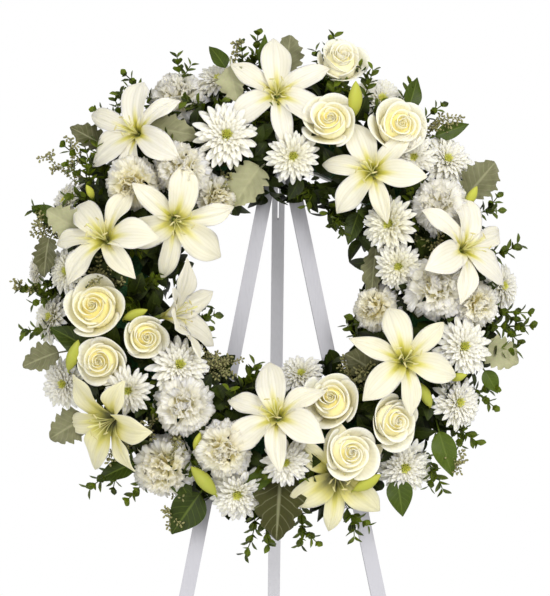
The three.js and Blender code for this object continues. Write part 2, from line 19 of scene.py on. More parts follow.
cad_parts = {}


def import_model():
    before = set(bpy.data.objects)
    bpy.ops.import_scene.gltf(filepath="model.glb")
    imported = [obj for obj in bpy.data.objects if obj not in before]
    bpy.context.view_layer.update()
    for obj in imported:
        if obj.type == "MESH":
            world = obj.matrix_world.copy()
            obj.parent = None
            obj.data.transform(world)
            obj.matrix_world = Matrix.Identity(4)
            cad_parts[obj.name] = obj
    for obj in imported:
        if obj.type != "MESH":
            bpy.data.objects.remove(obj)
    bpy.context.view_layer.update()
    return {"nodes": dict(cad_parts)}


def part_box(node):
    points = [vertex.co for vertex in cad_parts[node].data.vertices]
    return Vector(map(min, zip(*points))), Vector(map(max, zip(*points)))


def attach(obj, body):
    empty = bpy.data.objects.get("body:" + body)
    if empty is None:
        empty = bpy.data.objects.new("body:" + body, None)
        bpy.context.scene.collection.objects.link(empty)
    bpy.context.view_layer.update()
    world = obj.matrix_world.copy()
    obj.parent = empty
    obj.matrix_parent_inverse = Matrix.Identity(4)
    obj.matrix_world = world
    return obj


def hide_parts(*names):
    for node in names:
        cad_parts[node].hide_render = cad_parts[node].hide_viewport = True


LOG = logging.getLogger("wreath")
MM = 0.001
GOLDEN_ANGLE = math.radians(137.508)
WREATH_BODY = "stand_and_wreath"
# The two faces of a petal or leaf meet at its rim more sharply than this; its ruffles don't.
RIM_ANGLE = math.radians(110)
Array = np.ndarray
Rng = np.random.Generator
Grid = Callable[[Array, Array], Array]


class Kind(Enum):
    """The flowers that the wreath is made of."""

    LILY = "lily"
    ROSE = "rose"
    MUM = "mum"
    CARNATION = "carnation"


# How far each kind's head stands off the circle through the middle of the foam, as in the CAD, in mm.
LIFT_MM = {Kind.LILY: 92, Kind.ROSE: 98, Kind.MUM: 96, Kind.CARNATION: 96}


@dataclass(frozen=True)
class Bloom:
    """One flower head: where it is on the ring, which way it looks, and how it differs from its kind.

    Attributes:
        node: CAD node that it belongs to; the heads of one spray share a node.
        kind: which flower it is.
        clock: degrees clockwise from the top of the ring.
        reach: mm from the ring's centre.
        span: mm across the head.
        look: clock direction that it faces.
        tilt: degrees that it turns that way from straight ahead.
        roll: degrees clockwise that it turns about its own axis.
        tone: from 0, plain white, to 1, strongly yellow-green or cream inside.
        open: 1 is fully open.
        sink: mm that it is pushed deeper than its kind, or with a minus stands prouder.
    """

    node: str
    kind: Kind
    clock: float
    reach: float
    span: float
    look: float
    tilt: float
    roll: float
    tone: float = 0.5
    open: float = 1.0
    sink: float = 0.0


def blooms(kind: Kind, rows: Sequence[tuple]) -> list[Bloom]:
    """Turn a list of rows into the flower heads of one kind.

    Args:
        kind: which flower they are.
        rows: a head's name, then its other fields in the order of Bloom.

    Returns:
        The heads.
    """
    return [Bloom(f"{kind.value}_{name}", kind, *rest) for name, *rest in rows]


LILIES = blooms(Kind.LILY, [
    ("top", 0, 262, 148, 350, 5, 0, 0.4, 1.0, 10),
    ("upper_left", 318, 280, 150, 280, 28, 0, 0.4),
    ("upper_right", 41, 202, 138, 270, 14, -14, 0.6, 1.0, 14),
    ("inner_left", 302, 168, 152, 145, 25, 10, 0.6),
    ("left", 283, 235, 148, 307, 30, -30, 0.6),
    ("inner_low", 254, 166, 150, 84, 64, -5, 0.3, 0.62),
    ("lower_left", 230, 280, 150, 240, 50, -30, 1.3, 0.85),
    ("bottom_centre", 180, 187, 146, 322, 22, -5, 0.5),
    ("lower_right", 123, 200, 144, 60, 6, -10, 0.7),
    ("bottom", 163, 266, 146, 170, 20, 3, 1.4, 0.95, 22),
    ("right", 80, 250, 148, 80, 32, 10, 0.35),
])
ROSES = blooms(Kind.ROSE, [
    ("top", 16, 326, 84, 20, 26, 0, 0.15, 0.85, -30),
    ("upper_inner", 18, 234, 76, 330, 8, 40, 0.6),
    ("upper_right", 38, 272, 86, 60, 12, 80, 0.6, 1.0, -12),
    ("left", 262, 250, 84, 290, 14, 10, 0.8),
    ("inner_left", 247, 195, 64, 120, 14, 100, 0.7),
    ("lower_left", 246, 262, 72, 230, 14, 60, 0.65),
    ("lower_inner", 156, 175, 80, 315, 14, 20, 0.6),
    ("lower_right", 141, 244, 74, 110, 26, 70, 0.5),
    ("bottom", 158, 251, 80, 100, 10, 130, 0.35, 1.0, -4),
])
MUMS = blooms(Kind.MUM, [
    ("upper_left", 341, 214, 96, 90, 6, 0, 0.4),
    ("upper_left", 345, 308, 72, 345, 35, 8, 0.4),
    ("top_inner", 7, 176, 78, 180, 12, 5, 0.8),
    ("top_right", 29, 308, 84, 30, 26, 0, 0.1),
    ("right_upper", 47, 256, 68, 200, 18, 4, 0.4),
    ("right_upper", 53, 297, 84, 50, 24, 9, 0.1),
    ("inner_right", 62, 172, 84, 270, 26, 3, 0.9),
    ("inner_right", 82, 166, 70, 225, 18, 7, 0.9),
    ("far_right", 89, 316, 74, 90, 44, 0, 0.1),
    ("right_lower", 109, 267, 84, 100, 12, 6, 0.4),
    ("right_lower", 123, 295, 80, 95, 26, 2, 0.3),
    ("lower_right", 145, 303, 84, 150, 16, 0, 0.4),
    ("bottom", 178, 244, 70, 180, 8, 5, 0.5),
    ("bottom", 191, 290, 82, 190, 25, 1, 0.6),
    ("lower_inner", 230, 174, 88, 60, 12, 4, 0.2),
    ("lower_inner", 234, 250, 70, 200, 12, 9, 0.6),
    ("left", 246, 321, 74, 250, 30, 3, 0.5),
    ("left", 263, 314, 78, 275, 48, 8, 0.6),
    ("far_left", 274, 288, 72, 265, 36, 0, 0.8),
    ("far_left", 275, 332, 58, 275, 70, 5, 0.1),
    ("left_upper", 293, 318, 68, 293, 58, 2, 0.2),
    ("inner_bottom", 164, 122, 68, 350, 26, 6, 0.6),
])
CARNATIONS = blooms(Kind.CARNATION, [
    ("upper_left", 320, 205, 78, 330, 8, 0, 0.5),
    ("top_left", 333, 304, 82, 335, 30, 30, 0.15),
    ("left", 304, 240, 72, 210, 18, 60, 0.9),
    ("inner_top", 325, 144, 64, 140, 36, 10, 0.8),
    ("right_upper", 64, 246, 76, 300, 8, 20, 0.2),
    ("right", 92, 216, 84, 60, 6, 45, 0.3),
    ("inner_right", 103, 136, 66, 270, 34, 15, 0.8),
    ("far_right", 96, 274, 66, 110, 24, 5, 0.6),
    ("lower_left", 212, 294, 84, 215, 24, 25, 0.7),
    ("bottom_left", 198, 240, 76, 180, 12, 50, 0.7),
    ("lower_inner", 217, 212, 78, 190, 10, 35, 0.35),
])


# --- small helpers
def link(name: str, data: bpy.types.ID) -> Object:
    """Put a new object in the scene, at the origin.

    Args:
        name: its name.
        data: its mesh, light or camera.

    Returns:
        The object.
    """
    obj = bpy.data.objects.new(name, data)
    bpy.context.scene.collection.objects.link(obj)
    return obj


def linear(hex_colour: str) -> tuple[float, float, float, float]:
    """Turn an sRGB hex colour into the linear one that shaders take.

    Args:
        hex_colour: such as "#f4f3ea".

    Returns:
        Linear red, green, blue and an alpha of one.
    """
    parts = [int(hex_colour[i : i + 2], 16) / 255 for i in (1, 3, 5)]
    low = [c / 12.92 if c <= 0.04045 else ((c + 0.055) / 1.055) ** 2.4 for c in parts]
    return (low[0], low[1], low[2], 1.0)


def smooth(low: float, high: float, value: Array) -> Array:
    """Ease from 0 at low to 1 at high.

    Args:
        low: where the ease starts.
        high: where it ends.
        value: what is eased.

    Returns:
        The eased values, from 0 to 1.
    """
    t = np.clip((value - low) / (high - low), 0, 1)
    return t * t * (3 - 2 * t)


def curve(stops: Sequence[tuple[float, float]], t: Array) -> Array:
    """Follow a smooth curve through chosen stops.

    Args:
        stops: pairs of place and value, in rising order of place.
        t: where it is read.

    Returns:
        The values at t.
    """
    x = np.array([stop[0] for stop in stops])
    y = np.array([stop[1] for stop in stops])
    slope = np.gradient(y, x)
    k = np.clip(np.searchsorted(x, t, side="right") - 1, 0, len(x) - 2)
    gap = x[k + 1] - x[k]
    a = (t - x[k]) / gap
    return (
        y[k] * (1 + 2 * a) * (1 - a) ** 2
        + y[k + 1] * a**2 * (3 - 2 * a)
        + slope[k] * gap * a * (1 - a) ** 2
        - slope[k + 1] * gap * a**2 * (1 - a)
    )


def beside_axis(angle: float, out: Array, side: Array, height: Array) -> Array:
    """Place a grid of points beside a head's axis.

    Args:
        angle: bearing of the petal, clockwise from the head's top, radians.
        out: how far out each point is.
        side: how far to the petal's side.
        height: how far along the axis.

    Returns:
        The points.
    """
    outward = np.array([math.sin(angle), math.cos(angle), 0.0])
    sideways = np.array([math.cos(angle), -math.sin(angle), 0.0])
    up = np.array([0.0, 0.0, 1.0])
    return outward * out[..., None] + sideways * side[..., None] + up * height[..., None]


@dataclass
class MeshParts:
    """Grows one mesh out of many closed parts, with a colour guide stored at each vertex.

    The guide holds: along (0 at the base, 1 at the tip), across (0.5 at the middle), chance and tone.
    """

    points: list[Array] = field(default_factory=list)
    faces: list[tuple[Array, int]] = field(default_factory=list)
    guides: list[Array] = field(default_factory=list)
    count: int = 0

    def add(self, points: Array, faces: Array, guide: Array, material: int = 0) -> None:
        """Add one part.

        Args:
            points: n by 3 places.
            faces: m by 4 or m by 3 vertex numbers.
            guide: n by 4 colour guides.
            material: number of the part's material.
        """
        self.points.append(points)
        self.faces.append((faces + self.count, material))
        self.guides.append(guide)
        self.count += len(points)

    def place(self, start: int, matrix: Matrix) -> None:
        """Move every part from number start on.

        Args:
            start: number of the first part that moves.
            matrix: where to.
        """
        turn = np.array(matrix.to_3x3())
        shift = np.array(matrix.translation)
        for i in range(start, len(self.points)):
            self.points[i] = self.points[i] @ turn.T + shift

    def object(self, name: str, materials: Sequence[Material]) -> Object:
        """Make the Blender object, at the origin.

        Args:
            name: the object's name.
            materials: its materials, in order.

        Returns:
            The linked object.
        """
        mesh = bpy.data.meshes.new(name)
        faces = [face for block, _ in self.faces for face in block.tolist()]
        mesh.from_pydata(np.concatenate(self.points).tolist(), [], faces)
        slots = np.concatenate([np.full(len(block), slot, np.int32) for block, slot in self.faces])
        mesh.polygons.foreach_set("material_index", slots)
        mesh.polygons.foreach_set("use_smooth", np.full(len(slots), True))
        guide = mesh.attributes.new("guide", "FLOAT_COLOR", "POINT")
        guide.data.foreach_set("color", np.concatenate(self.guides).astype(np.float32).ravel())
        for material in materials:
            mesh.materials.append(material)
        mesh.update()
        mesh.set_sharp_from_angle(angle=RIM_ANGLE)
        return link(name, mesh)


def shell(
    parts: MeshParts,
    surface: Grid,
    along: int,
    across: int,
    thick: float,
    chance: float,
    tone: float,
    material: int = 0,
    crowd: float = 1.0,
) -> None:
    """Add a thin closed petal or leaf whose two faces meet all round its rim.

    Args:
        parts: what it is added to.
        surface: gives the middle surface for u in 0..1 along and v in -1..1 across.
        along: cells along it.
        across: cells across it.
        thick: thickness in metres.
        chance: the petal's own random share, for its colour.
        tone: the flower's tone.
        material: number of the material.
        crowd: above 1, the cells crowd towards the tip.
    """
    steps = 1 - (1 - np.linspace(0, 1, along + 1)) ** crowd
    u, v = np.meshgrid(steps, np.linspace(-1, 1, across + 1), indexing="ij")
    middle = surface(u, v)
    du = np.gradient(middle, axis=0)
    dv = np.gradient(middle, axis=1)
    normal = np.cross(du, dv)
    normal /= np.maximum(np.linalg.norm(normal, axis=2, keepdims=True), 1e-12)
    rim = np.zeros(u.shape, bool)
    rim[0], rim[-1], rim[:, 0], rim[:, -1] = True, True, True, True
    half = np.where(rim, 0.0, thick / 2)[..., None]
    front = middle + normal * half
    back = middle - normal * half
    index = np.arange(u.size).reshape(u.shape)
    back_index = np.where(rim, index, u.size + np.cumsum(~rim).reshape(u.shape) - 1)
    points = np.concatenate([front.reshape(-1, 3), back[~rim]])
    base = np.stack([u, (v + 1) / 2, np.full(u.shape, chance), np.full(u.shape, tone)], axis=2)
    guide = np.concatenate([base.reshape(-1, 4), base[~rim]])

    def quads(number: Array) -> Array:
        """The grid's faces, by vertex number."""
        corners = [number[:-1, :-1], number[1:, :-1], number[1:, 1:], number[:-1, 1:]]
        return np.stack(corners, axis=2).reshape(-1, 4)

    parts.add(points, np.concatenate([quads(index), quads(back_index)[:, ::-1]]), guide, material)


def tube(
    parts: MeshParts,
    path: Array,
    radii: Sequence[float],
    sides: int,
    chance: float,
    tone: float,
    material: int = 0,
) -> None:
    """Add a closed round tube along a path.

    Args:
        parts: what it is added to.
        path: n by 3 points.
        radii: its radius at each point.
        sides: faces round it.
        chance: the random share for its colour.
        tone: the tone for its colour.
        material: number of the material.
    """
    count = len(path)
    heading = np.gradient(path, axis=0)
    heading /= np.maximum(np.linalg.norm(heading, axis=1, keepdims=True), 1e-12)
    helper = np.array([0.31, 0.87, 0.38])
    side = np.cross(heading, helper)
    side /= np.linalg.norm(side, axis=1, keepdims=True)
    other = np.cross(heading, side)
    turn = np.linspace(0, 2 * math.pi, sides, endpoint=False)
    rings = (
        path[:, None]
        + side[:, None] * (np.cos(turn)[None, :, None] * np.array(radii)[:, None, None])
        + other[:, None] * (np.sin(turn)[None, :, None] * np.array(radii)[:, None, None])
    )
    points = np.concatenate([rings.reshape(-1, 3), path[:1], path[-1:]])
    k = np.arange(sides)
    following = (k + 1) % sides
    walls = []
    for low in range(0, (count - 1) * sides, sides):
        high = low + sides
        walls.append(np.stack([low + k, low + following, high + following, high + k], 1))
    start = np.stack([np.full(sides, count * sides), following, k], 1)
    end_row = (count - 1) * sides
    end = np.stack([np.full(sides, count * sides + 1), end_row + k, end_row + following], 1)
    share = np.concatenate([np.repeat(np.linspace(0, 1, count), sides), [0, 1]])
    same = np.ones(share.shape)
    guide = np.stack([share, 0.5 * same, chance * same, tone * same], 1)
    parts.add(points, np.concatenate(walls), guide, material)
    parts.faces.append((start + parts.count - len(points), material))
    parts.faces.append((end + parts.count - len(points), material))


def spool(
    parts: MeshParts,
    profile: Sequence[tuple[float, float]],
    size: float,
    sides: int,
    chance: float,
    tone: float = 0.0,
    material: int = 0,
) -> None:
    """Add a round part on a head's own axis.

    Args:
        parts: what it is added to.
        profile: pairs of height and radius, in sizes.
        size: the size in metres.
        sides: faces round it.
        chance: the random share for its colour.
        tone: the tone for its colour.
        material: number of the material.
    """
    path = np.array([(0, 0, height) for height, _ in profile]) * size
    tube(parts, path, np.array([radius for _, radius in profile]) * size, sides, chance, tone, material)


# --- the ring's own frame
@dataclass(frozen=True)
class RingFrame:
    """Where the leaning ring is: clock directions, reach from the centre, depth towards the front."""

    centre: Vector
    lean: float
    core_radius: float = 0.215
    core_depth: float = 0.020

    @classmethod
    def from_cad(cls) -> "RingFrame":
        """Work the frame out from the CAD foam ring, with a given lean."""
        low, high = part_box("foam_ring")
        lean = math.radians(8)
        foam_middle = 0.0243
        front = Vector((0, -math.cos(lean), math.sin(lean)))
        return cls((low + high) / 2 - front * foam_middle, lean)

    @property
    def up(self) -> Vector:
        """The ring's own upward direction."""
        return Vector((0, math.sin(self.lean), math.cos(self.lean)))

    @property
    def front(self) -> Vector:
        """The direction that the wreath faces."""
        return Vector((0, -math.cos(self.lean), math.sin(self.lean)))

    def direction(self, clock: float) -> Vector:
        """The direction from the centre towards a clock angle, in degrees."""
        a = math.radians(clock)
        return Vector((1, 0, 0)) * math.sin(a) + self.up * math.cos(a)

    def point(self, clock: float, reach: float, depth: float) -> Vector:
        """A point given by clock degrees, and reach and depth in metres."""
        return self.centre + self.direction(clock) * reach + self.front * depth

    def head_matrix(self, bloom: Bloom) -> Matrix:
        """Where a flower head goes: its local Z faces ahead and its local Y is its own top.

        Args:
            bloom: the flower.

        Returns:
            The head's matrix.
        """
        lift = (LIFT_MM[bloom.kind] - bloom.sink) * MM
        across = bloom.reach * MM - self.core_radius
        depth = self.core_depth + math.sqrt(max(lift * lift - across * across, 0.018**2))
        anchor = self.point(bloom.clock, bloom.reach * MM, depth)
        tilt = math.radians(bloom.tilt)
        facing = self.direction(bloom.look) * math.sin(tilt) + self.front * math.cos(tilt)
        top = self.direction(bloom.roll)
        top = (top - facing * top.dot(facing)).normalized()
        side = top.cross(facing)
        turn = Matrix((side, top, facing)).transposed().to_4x4()
        return Matrix.Translation(anchor) @ turn

    def leaf_matrix(self, clock: float, reach: float, depth: float, point: float, lean: float) -> Matrix:
        """Where a leaf or bud goes: its local Y runs to its tip and its local Z faces ahead.

        Args:
            clock: clock angle of its middle, degrees.
            reach: mm from the ring's centre to its middle.
            depth: mm towards the front.
            point: clock direction of its tip.
            lean: degrees that its tip comes forward.

        Returns:
            Its matrix.
        """
        rise = math.radians(lean)
        ahead = (self.direction(point) * math.cos(rise) + self.front * math.sin(rise)).normalized()
        face = (self.front - ahead * self.front.dot(ahead)).normalized()
        turn = Matrix((ahead.cross(face), ahead, face)).transposed().to_4x4()
        return Matrix.Translation(self.point(clock, reach * MM, depth * MM)) @ turn

    def stem(self, bloom: Bloom, matrix: Matrix, root: float) -> Array:
        """The curved path of a flower's stem, from inside the foam to the back of its head.

        Args:
            bloom: the flower.
            matrix: where its head is.
            root: how far behind the head's origin the stem joins it, in metres.

        Returns:
            Points along the stem.
        """
        foot = self.point(bloom.clock, self.core_radius, self.core_depth)
        neck = matrix @ Vector((0, 0, -root))
        foot = foot + (matrix.translation - foot).normalized() * 0.014
        bend = neck - (matrix.to_3x3() @ Vector((0, 0, 1))) * 0.012
        t = np.linspace(0, 1, 7)[:, None]
        a, b, c = np.array(foot), np.array(bend), np.array(neck)
        return (1 - t) ** 2 * a + 2 * (1 - t) * t * b + t**2 * c


# --- finishes
def add_node(
    tree: NodeTree,
    kind: str,
    values: dict[str | int, object] | None = None,
    links: dict[str | int, Node | NodeSocket] | None = None,
    **settings: object,
) -> Node:
    """Add a node with its settings, input values and links.

    Args:
        tree: the node tree.
        kind: the node's type name.
        values: input values, by socket name or number.
        links: what feeds its inputs, by socket name or number; a node feeds by its first output.
        settings: the node's own properties.

    Returns:
        The new node.
    """
    node = tree.nodes.new(kind)
    for name, value in settings.items():
        setattr(node, name, value)
    for key, value in (values or {}).items():
        node.inputs[key].default_value = value
    for key, source in (links or {}).items():
        tree.links.new(source.outputs[0] if isinstance(source, Node) else source, node.inputs[key])
    return node


def ramp(tree: NodeTree, factor: Node, stops: Sequence[tuple[float, str]]) -> Node:
    """Add a colour ramp.

    Args:
        tree: the node tree.
        factor: what drives it.
        stops: places and sRGB hex colours.

    Returns:
        The ramp node.
    """
    node = add_node(tree, "ShaderNodeValToRGB", links={0: factor})
    elements = node.color_ramp.elements
    while len(elements) < len(stops):
        elements.new(0.5)
    for element, (place, colour) in zip(elements, stops):
        element.position = place
        element.color = linear(colour)
    return node


@dataclass(frozen=True)
class Finish:
    """What every finish has: a name, and a tree with one Principled shader."""

    name: str

    def start(self) -> tuple[Material, NodeTree, Node, NodeSocket]:
        """Make an empty material.

        Returns:
            The material, its tree, its shader and the object coordinates.
        """
        material = bpy.data.materials.new(self.name)
        material.use_nodes = True
        tree = material.node_tree
        tree.nodes.clear()
        shader = add_node(tree, "ShaderNodeBsdfPrincipled")
        add_node(tree, "ShaderNodeOutputMaterial", links={"Surface": shader})
        place = add_node(tree, "ShaderNodeTexCoord")
        return material, tree, shader, place.outputs["Object"]

    def guide(self, tree: NodeTree) -> tuple[NodeSocket, NodeSocket, NodeSocket, NodeSocket]:
        """Read the guide that MeshParts stores.

        Args:
            tree: the node tree.

        Returns:
            Along, across, chance and tone.
        """
        guide = add_node(tree, "ShaderNodeAttribute", attribute_name="guide")
        split = add_node(tree, "ShaderNodeSeparateColor", links={0: guide.outputs["Color"]})
        return split.outputs[0], split.outputs[1], split.outputs[2], guide.outputs["Alpha"]

    def join(
        self,
        tree: NodeTree,
        shader: Node,
        colour: NodeSocket,
        uneven: Node,
        rough: tuple[float, float],
        height: Node,
        relief: tuple[float, float],
        values: dict[str, object],
    ) -> None:
        """Join the patterns to the shader as its colour, roughness and relief.

        Args:
            tree: the node tree.
            shader: its shader.
            colour: the finished colour.
            uneven: pattern of the roughness.
            rough: roughness where that pattern is lowest and highest.
            height: pattern of the relief.
            relief: the relief's strength, and its height in mm.
            values: the shader's own constants, by socket name.
        """
        worn = add_node(tree, "ShaderNodeMapRange", {3: rough[0], 4: rough[1]}, {0: uneven})
        bump = add_node(tree, "ShaderNodeBump", {"Strength": relief[0], "Distance": relief[1] * MM},
                        {"Height": height})
        tree.links.new(colour, shader.inputs["Base Color"])
        tree.links.new(worn.outputs[0], shader.inputs["Roughness"])
        tree.links.new(bump.outputs[0], shader.inputs["Normal"])
        for name, value in values.items():
            shader.inputs[name].default_value = value


@dataclass(frozen=True)
class PetalFinish(Finish):
    """A living petal: thin, slightly translucent cells, a soft sheen, fine veins along it.

    Attributes:
        stops: colours from the petal's outer part, 0, to its very base, 1.
        heart_start: how far along a petal with no tone the heart's colour reaches, 0 to 1.
        heart_end: how much further it reaches with full tone.
        strong: how strong the heart's colour is with no tone, 0 to 1.
        rib_reach: how much further it reaches down the middle.
        veins: veins across one petal.
        rough: roughness.
        vein_depth: strength of the relief.
        furrow_tint_and_shade: how strongly the furrows between the veins are tinted, 0 to 1: a greener
            tint, which is the petal's own, and a darkening, which is painted shade in the furrows.
    """

    stops: tuple[tuple[float, str], ...] = ((0.0, "#f6f2e8"), (1.0, "#e9e27c"))
    heart_start: float = 0.12
    heart_end: float = 0.7
    strong: float = 0.45
    rib_reach: float = 0.0
    veins: float = 18
    rough: float = 0.48
    vein_depth: float = 0.25
    furrow_tint_and_shade: float = 0.06

    def material(self) -> Material:
        """Build the material."""
        material, tree, shader, place = self.start()
        put = partial(add_node, tree)
        along, across, chance, tone = self.guide(tree)
        # The heart's colour fades out along the petal, and a stronger tone carries it further.
        offset = put("ShaderNodeMath", {1: 0.5}, {0: across}, operation="SUBTRACT")
        side = put("ShaderNodeMath", links={0: offset}, operation="ABSOLUTE")
        rib_start = self.rib_reach + self.heart_start
        rib = put("ShaderNodeMapRange", {1: 0.0, 2: 0.20, 3: rib_start, 4: self.heart_start}, {0: side},
                  interpolation_type="SMOOTHSTEP")
        reach = put("ShaderNodeMath", {1: self.heart_end}, {0: tone, 2: rib}, operation="MULTIPLY_ADD")
        fade = put("ShaderNodeMapRange", {1: 0.0, 3: 1.0, 4: 0.0}, {0: along, 2: reach},
                   interpolation_type="SMOOTHERSTEP")
        strong = put("ShaderNodeMath", {1: 1 - self.strong, 2: self.strong}, {0: tone},
                     operation="MULTIPLY_ADD")
        heart = put("ShaderNodeMath", links={0: fade, 1: strong}, operation="MULTIPLY")
        colour = ramp(tree, heart, self.stops)
        # Each petal is a little warmer or cooler than the next, and cell clouds break the white up.
        cloud = put("ShaderNodeTexNoise", {"Scale": 1 / (9 * MM), "Detail": 3.0}, {"Vector": place})
        mood = put("ShaderNodeMath", links={0: cloud, 1: chance}, operation="ADD")
        warm = put("ShaderNodeMapRange", {1: 0.6, 2: 1.6, 3: 0.0, 4: 0.22}, {0: mood})
        warmed = put("ShaderNodeMix", {"B": linear("#e6dcb4")}, {"Factor": warm, "A": colour},
                     data_type="RGBA")
        # A flower of a strong tone is creamy all over, but for its heart.
        cream = put("ShaderNodeMapRange", {1: 0.45, 2: 1.1, 3: 0.0, 4: 0.6}, {0: tone})
        outside = put("ShaderNodeMath", {0: 1.0}, {1: heart}, operation="SUBTRACT")
        share = put("ShaderNodeMath", links={0: cream, 1: outside}, operation="MULTIPLY")
        tinted = put("ShaderNodeMix", {"B": linear(self.stops[1][1])},
                     {"Factor": share, "A": warmed.outputs["Result"]}, data_type="RGBA")
        # Veins run along the petal; their furrows take a greener and darker tint than the skin: the green
        # is the petal's own, the darkening is painted shade in the furrows.
        stripe = put("ShaderNodeMath", {1: self.veins * math.tau}, {0: across}, operation="MULTIPLY")
        wave = put("ShaderNodeMath", links={0: stripe}, operation="SINE")
        ridge = put("ShaderNodeMapRange", {1: -1.0, 2: 1.0, 3: 0.0, 4: 1.0}, {0: wave})
        furrow = put("ShaderNodeMapRange", {1: 0.0, 2: 0.45, 3: self.furrow_tint_and_shade, 4: 0.0}, {0: ridge})
        veined = put("ShaderNodeMix", {"B": linear("#aaa66e")},
                     {"Factor": furrow, "A": tinted.outputs["Result"]}, data_type="RGBA")
        fine = put("ShaderNodeTexNoise", {"Scale": 1 / (1.2 * MM), "Detail": 2.0}, {"Vector": place})
        height = put("ShaderNodeMath", {1: 0.6}, {0: ridge, 2: fine}, operation="MULTIPLY_ADD")
        rough = (self.rough - 0.06, self.rough + 0.08)
        self.join(tree, shader, veined.outputs["Result"], fine, rough, height, (self.vein_depth, 0.3), {
            "IOR": 1.4, "Subsurface Weight": 0.85, "Subsurface Radius": (1.0, 1.0, 0.8),
            "Subsurface Scale": 2 * MM, "Sheen Weight": 0.08})
        return material


@dataclass(frozen=True)
class LeafFinish(Finish):
    """A leaf: a paler midrib and side veins in a waxy or felted green skin.

    Attributes:
        dark: colour of the darkest leaves.
        light: colour of the brightest.
        vein: colour of the midrib.
        rough: roughness.
        felt: sheen of its hairs; 0 on a waxy leaf.
        veins: pairs of side veins.
        vein_share: how clearly the veins show, 0 to 1.
    """

    dark: str = "#22361c"
    light: str = "#54712f"
    vein: str = "#8fa06a"
    rough: float = 0.4
    felt: float = 0.0
    veins: float = 7
    vein_share: float = 0.55

    def material(self) -> Material:
        """Build the material."""
        material, tree, shader, place = self.start()
        put = partial(add_node, tree)
        along, across, chance, _ = self.guide(tree)
        patch = put("ShaderNodeTexNoise", {"Scale": 1 / (14 * MM), "Detail": 4.0}, {"Vector": place})
        mood = put("ShaderNodeMath", {1: 0.5}, {0: patch, 2: chance}, operation="MULTIPLY_ADD")
        shade = put("ShaderNodeMapRange", {1: 0.2, 2: 1.3}, {0: mood})
        skin = ramp(tree, shade, [(0.0, self.dark), (1.0, self.light)])
        # The midrib is where across is 0.5; side veins leave it at a slant.
        off = put("ShaderNodeMath", {1: 0.5}, {0: across}, operation="SUBTRACT")
        side = put("ShaderNodeMath", links={0: off}, operation="ABSOLUTE")
        rib = put("ShaderNodeMapRange", {1: 0.015, 2: 0.05, 3: 1.0, 4: 0.0}, {0: side})
        slant = put("ShaderNodeMath", {1: -0.55}, {0: side, 2: along}, operation="MULTIPLY_ADD")
        pace = put("ShaderNodeMath", {1: self.veins * math.tau}, {0: slant}, operation="MULTIPLY")
        wave = put("ShaderNodeMath", links={0: pace}, operation="SINE")
        branch = put("ShaderNodeMapRange", {1: 0.86, 2: 1.0, 3: 0.0, 4: 0.45}, {0: wave})
        lines = put("ShaderNodeMath", links={0: rib, 1: branch}, operation="MAXIMUM")
        share = put("ShaderNodeMath", {1: self.vein_share}, {0: lines}, operation="MULTIPLY")
        mixed = put("ShaderNodeMix", {"B": linear(self.vein)}, {"Factor": share, "A": skin},
                    data_type="RGBA")
        grain = put("ShaderNodeTexNoise", {"Scale": 1 / (1.0 * MM), "Detail": 2.0}, {"Vector": place})
        sunk = put("ShaderNodeMath", {1: -1.0}, {0: lines, 2: grain}, operation="MULTIPLY_ADD")
        rough = (self.rough - 0.08, self.rough + 0.12)
        self.join(tree, shader, mixed.outputs["Result"], patch, rough, sunk, (0.4, 0.4), {
            "IOR": 1.45, "Specular IOR Level": 0.22, "Sheen Weight": self.felt, "Subsurface Weight": 0.08,
            "Subsurface Radius": (0.4, 1.0, 0.2), "Subsurface Scale": 1 * MM})
        return material


@dataclass(frozen=True)
class PaintedPineFinish(Finish):
    """Sawn pine under one thin coat of white paint: the grain still shows, and the coat is uneven.

    Attributes:
        paint: colour where the coat is full.
        grain: colour where the fibres show through.
    """

    paint: str = "#bfbec4"
    grain: str = "#b7b6bc"

    def material(self) -> Material:
        """Build the material."""
        material, tree, shader, place = self.start()
        put = partial(add_node, tree)
        # Long in Z and narrow across, so the grain runs along the battens.
        stretch = put("ShaderNodeMapping", {"Scale": (1.0, 1.0, 0.05)}, {"Vector": place})
        fibre = put("ShaderNodeTexNoise", {"Scale": 1 / (2.5 * MM), "Detail": 4.0}, {"Vector": stretch})
        wash = put("ShaderNodeTexNoise", {"Scale": 1 / (70 * MM), "Detail": 2.0}, {"Vector": place})
        both = put("ShaderNodeMath", {1: 0.6}, {0: wash, 2: fibre}, operation="MULTIPLY_ADD")
        colour = ramp(tree, both, [(0.45, self.grain), (0.85, self.paint)])
        self.join(tree, shader, colour.outputs[0], fibre, (0.38, 0.6), fibre, (0.25, 0.2), {})
        return material


@dataclass(frozen=True)
class GrainFinish(Finish):
    """A surface with one fine grain: moulded plastic, foam cells, enamel, zinc plate or a plain floor.

    Attributes:
        low: colour in the grain's hollows.
        high: colour on its tops.
        size: the grain's size in mm.
        depth: the relief's height in mm.
        rough: roughness.
        metal: metallic share.
        strength: strength of the relief, 0 to 1.
    """

    low: str = "#cccccc"
    high: str = "#dddddd"
    size: float = 1.0
    depth: float = 0.1
    rough: float = 0.5
    metal: float = 0.0
    strength: float = 0.4

    def material(self) -> Material:
        """Build the material."""
        material, tree, shader, place = self.start()
        put = partial(add_node, tree)
        grain = put("ShaderNodeTexNoise", {"Scale": 1 / (self.size * MM), "Detail": 3.0}, {"Vector": place})
        colour = ramp(tree, grain, [(0.35, self.low), (0.65, self.high)])
        rough = (self.rough - 0.08, self.rough + 0.08)
        relief = (self.strength, self.depth)
        self.join(tree, shader, colour.outputs[0], grain, rough, grain, relief, {"Metallic": self.metal})
        return material


def made(finish: PetalFinish | LeafFinish) -> Material:
    """A field that holds a finish's material, built when its owner is.

    Args:
        finish: the finish.

    Returns:
        The field.
    """
    return field(default_factory=finish.material)


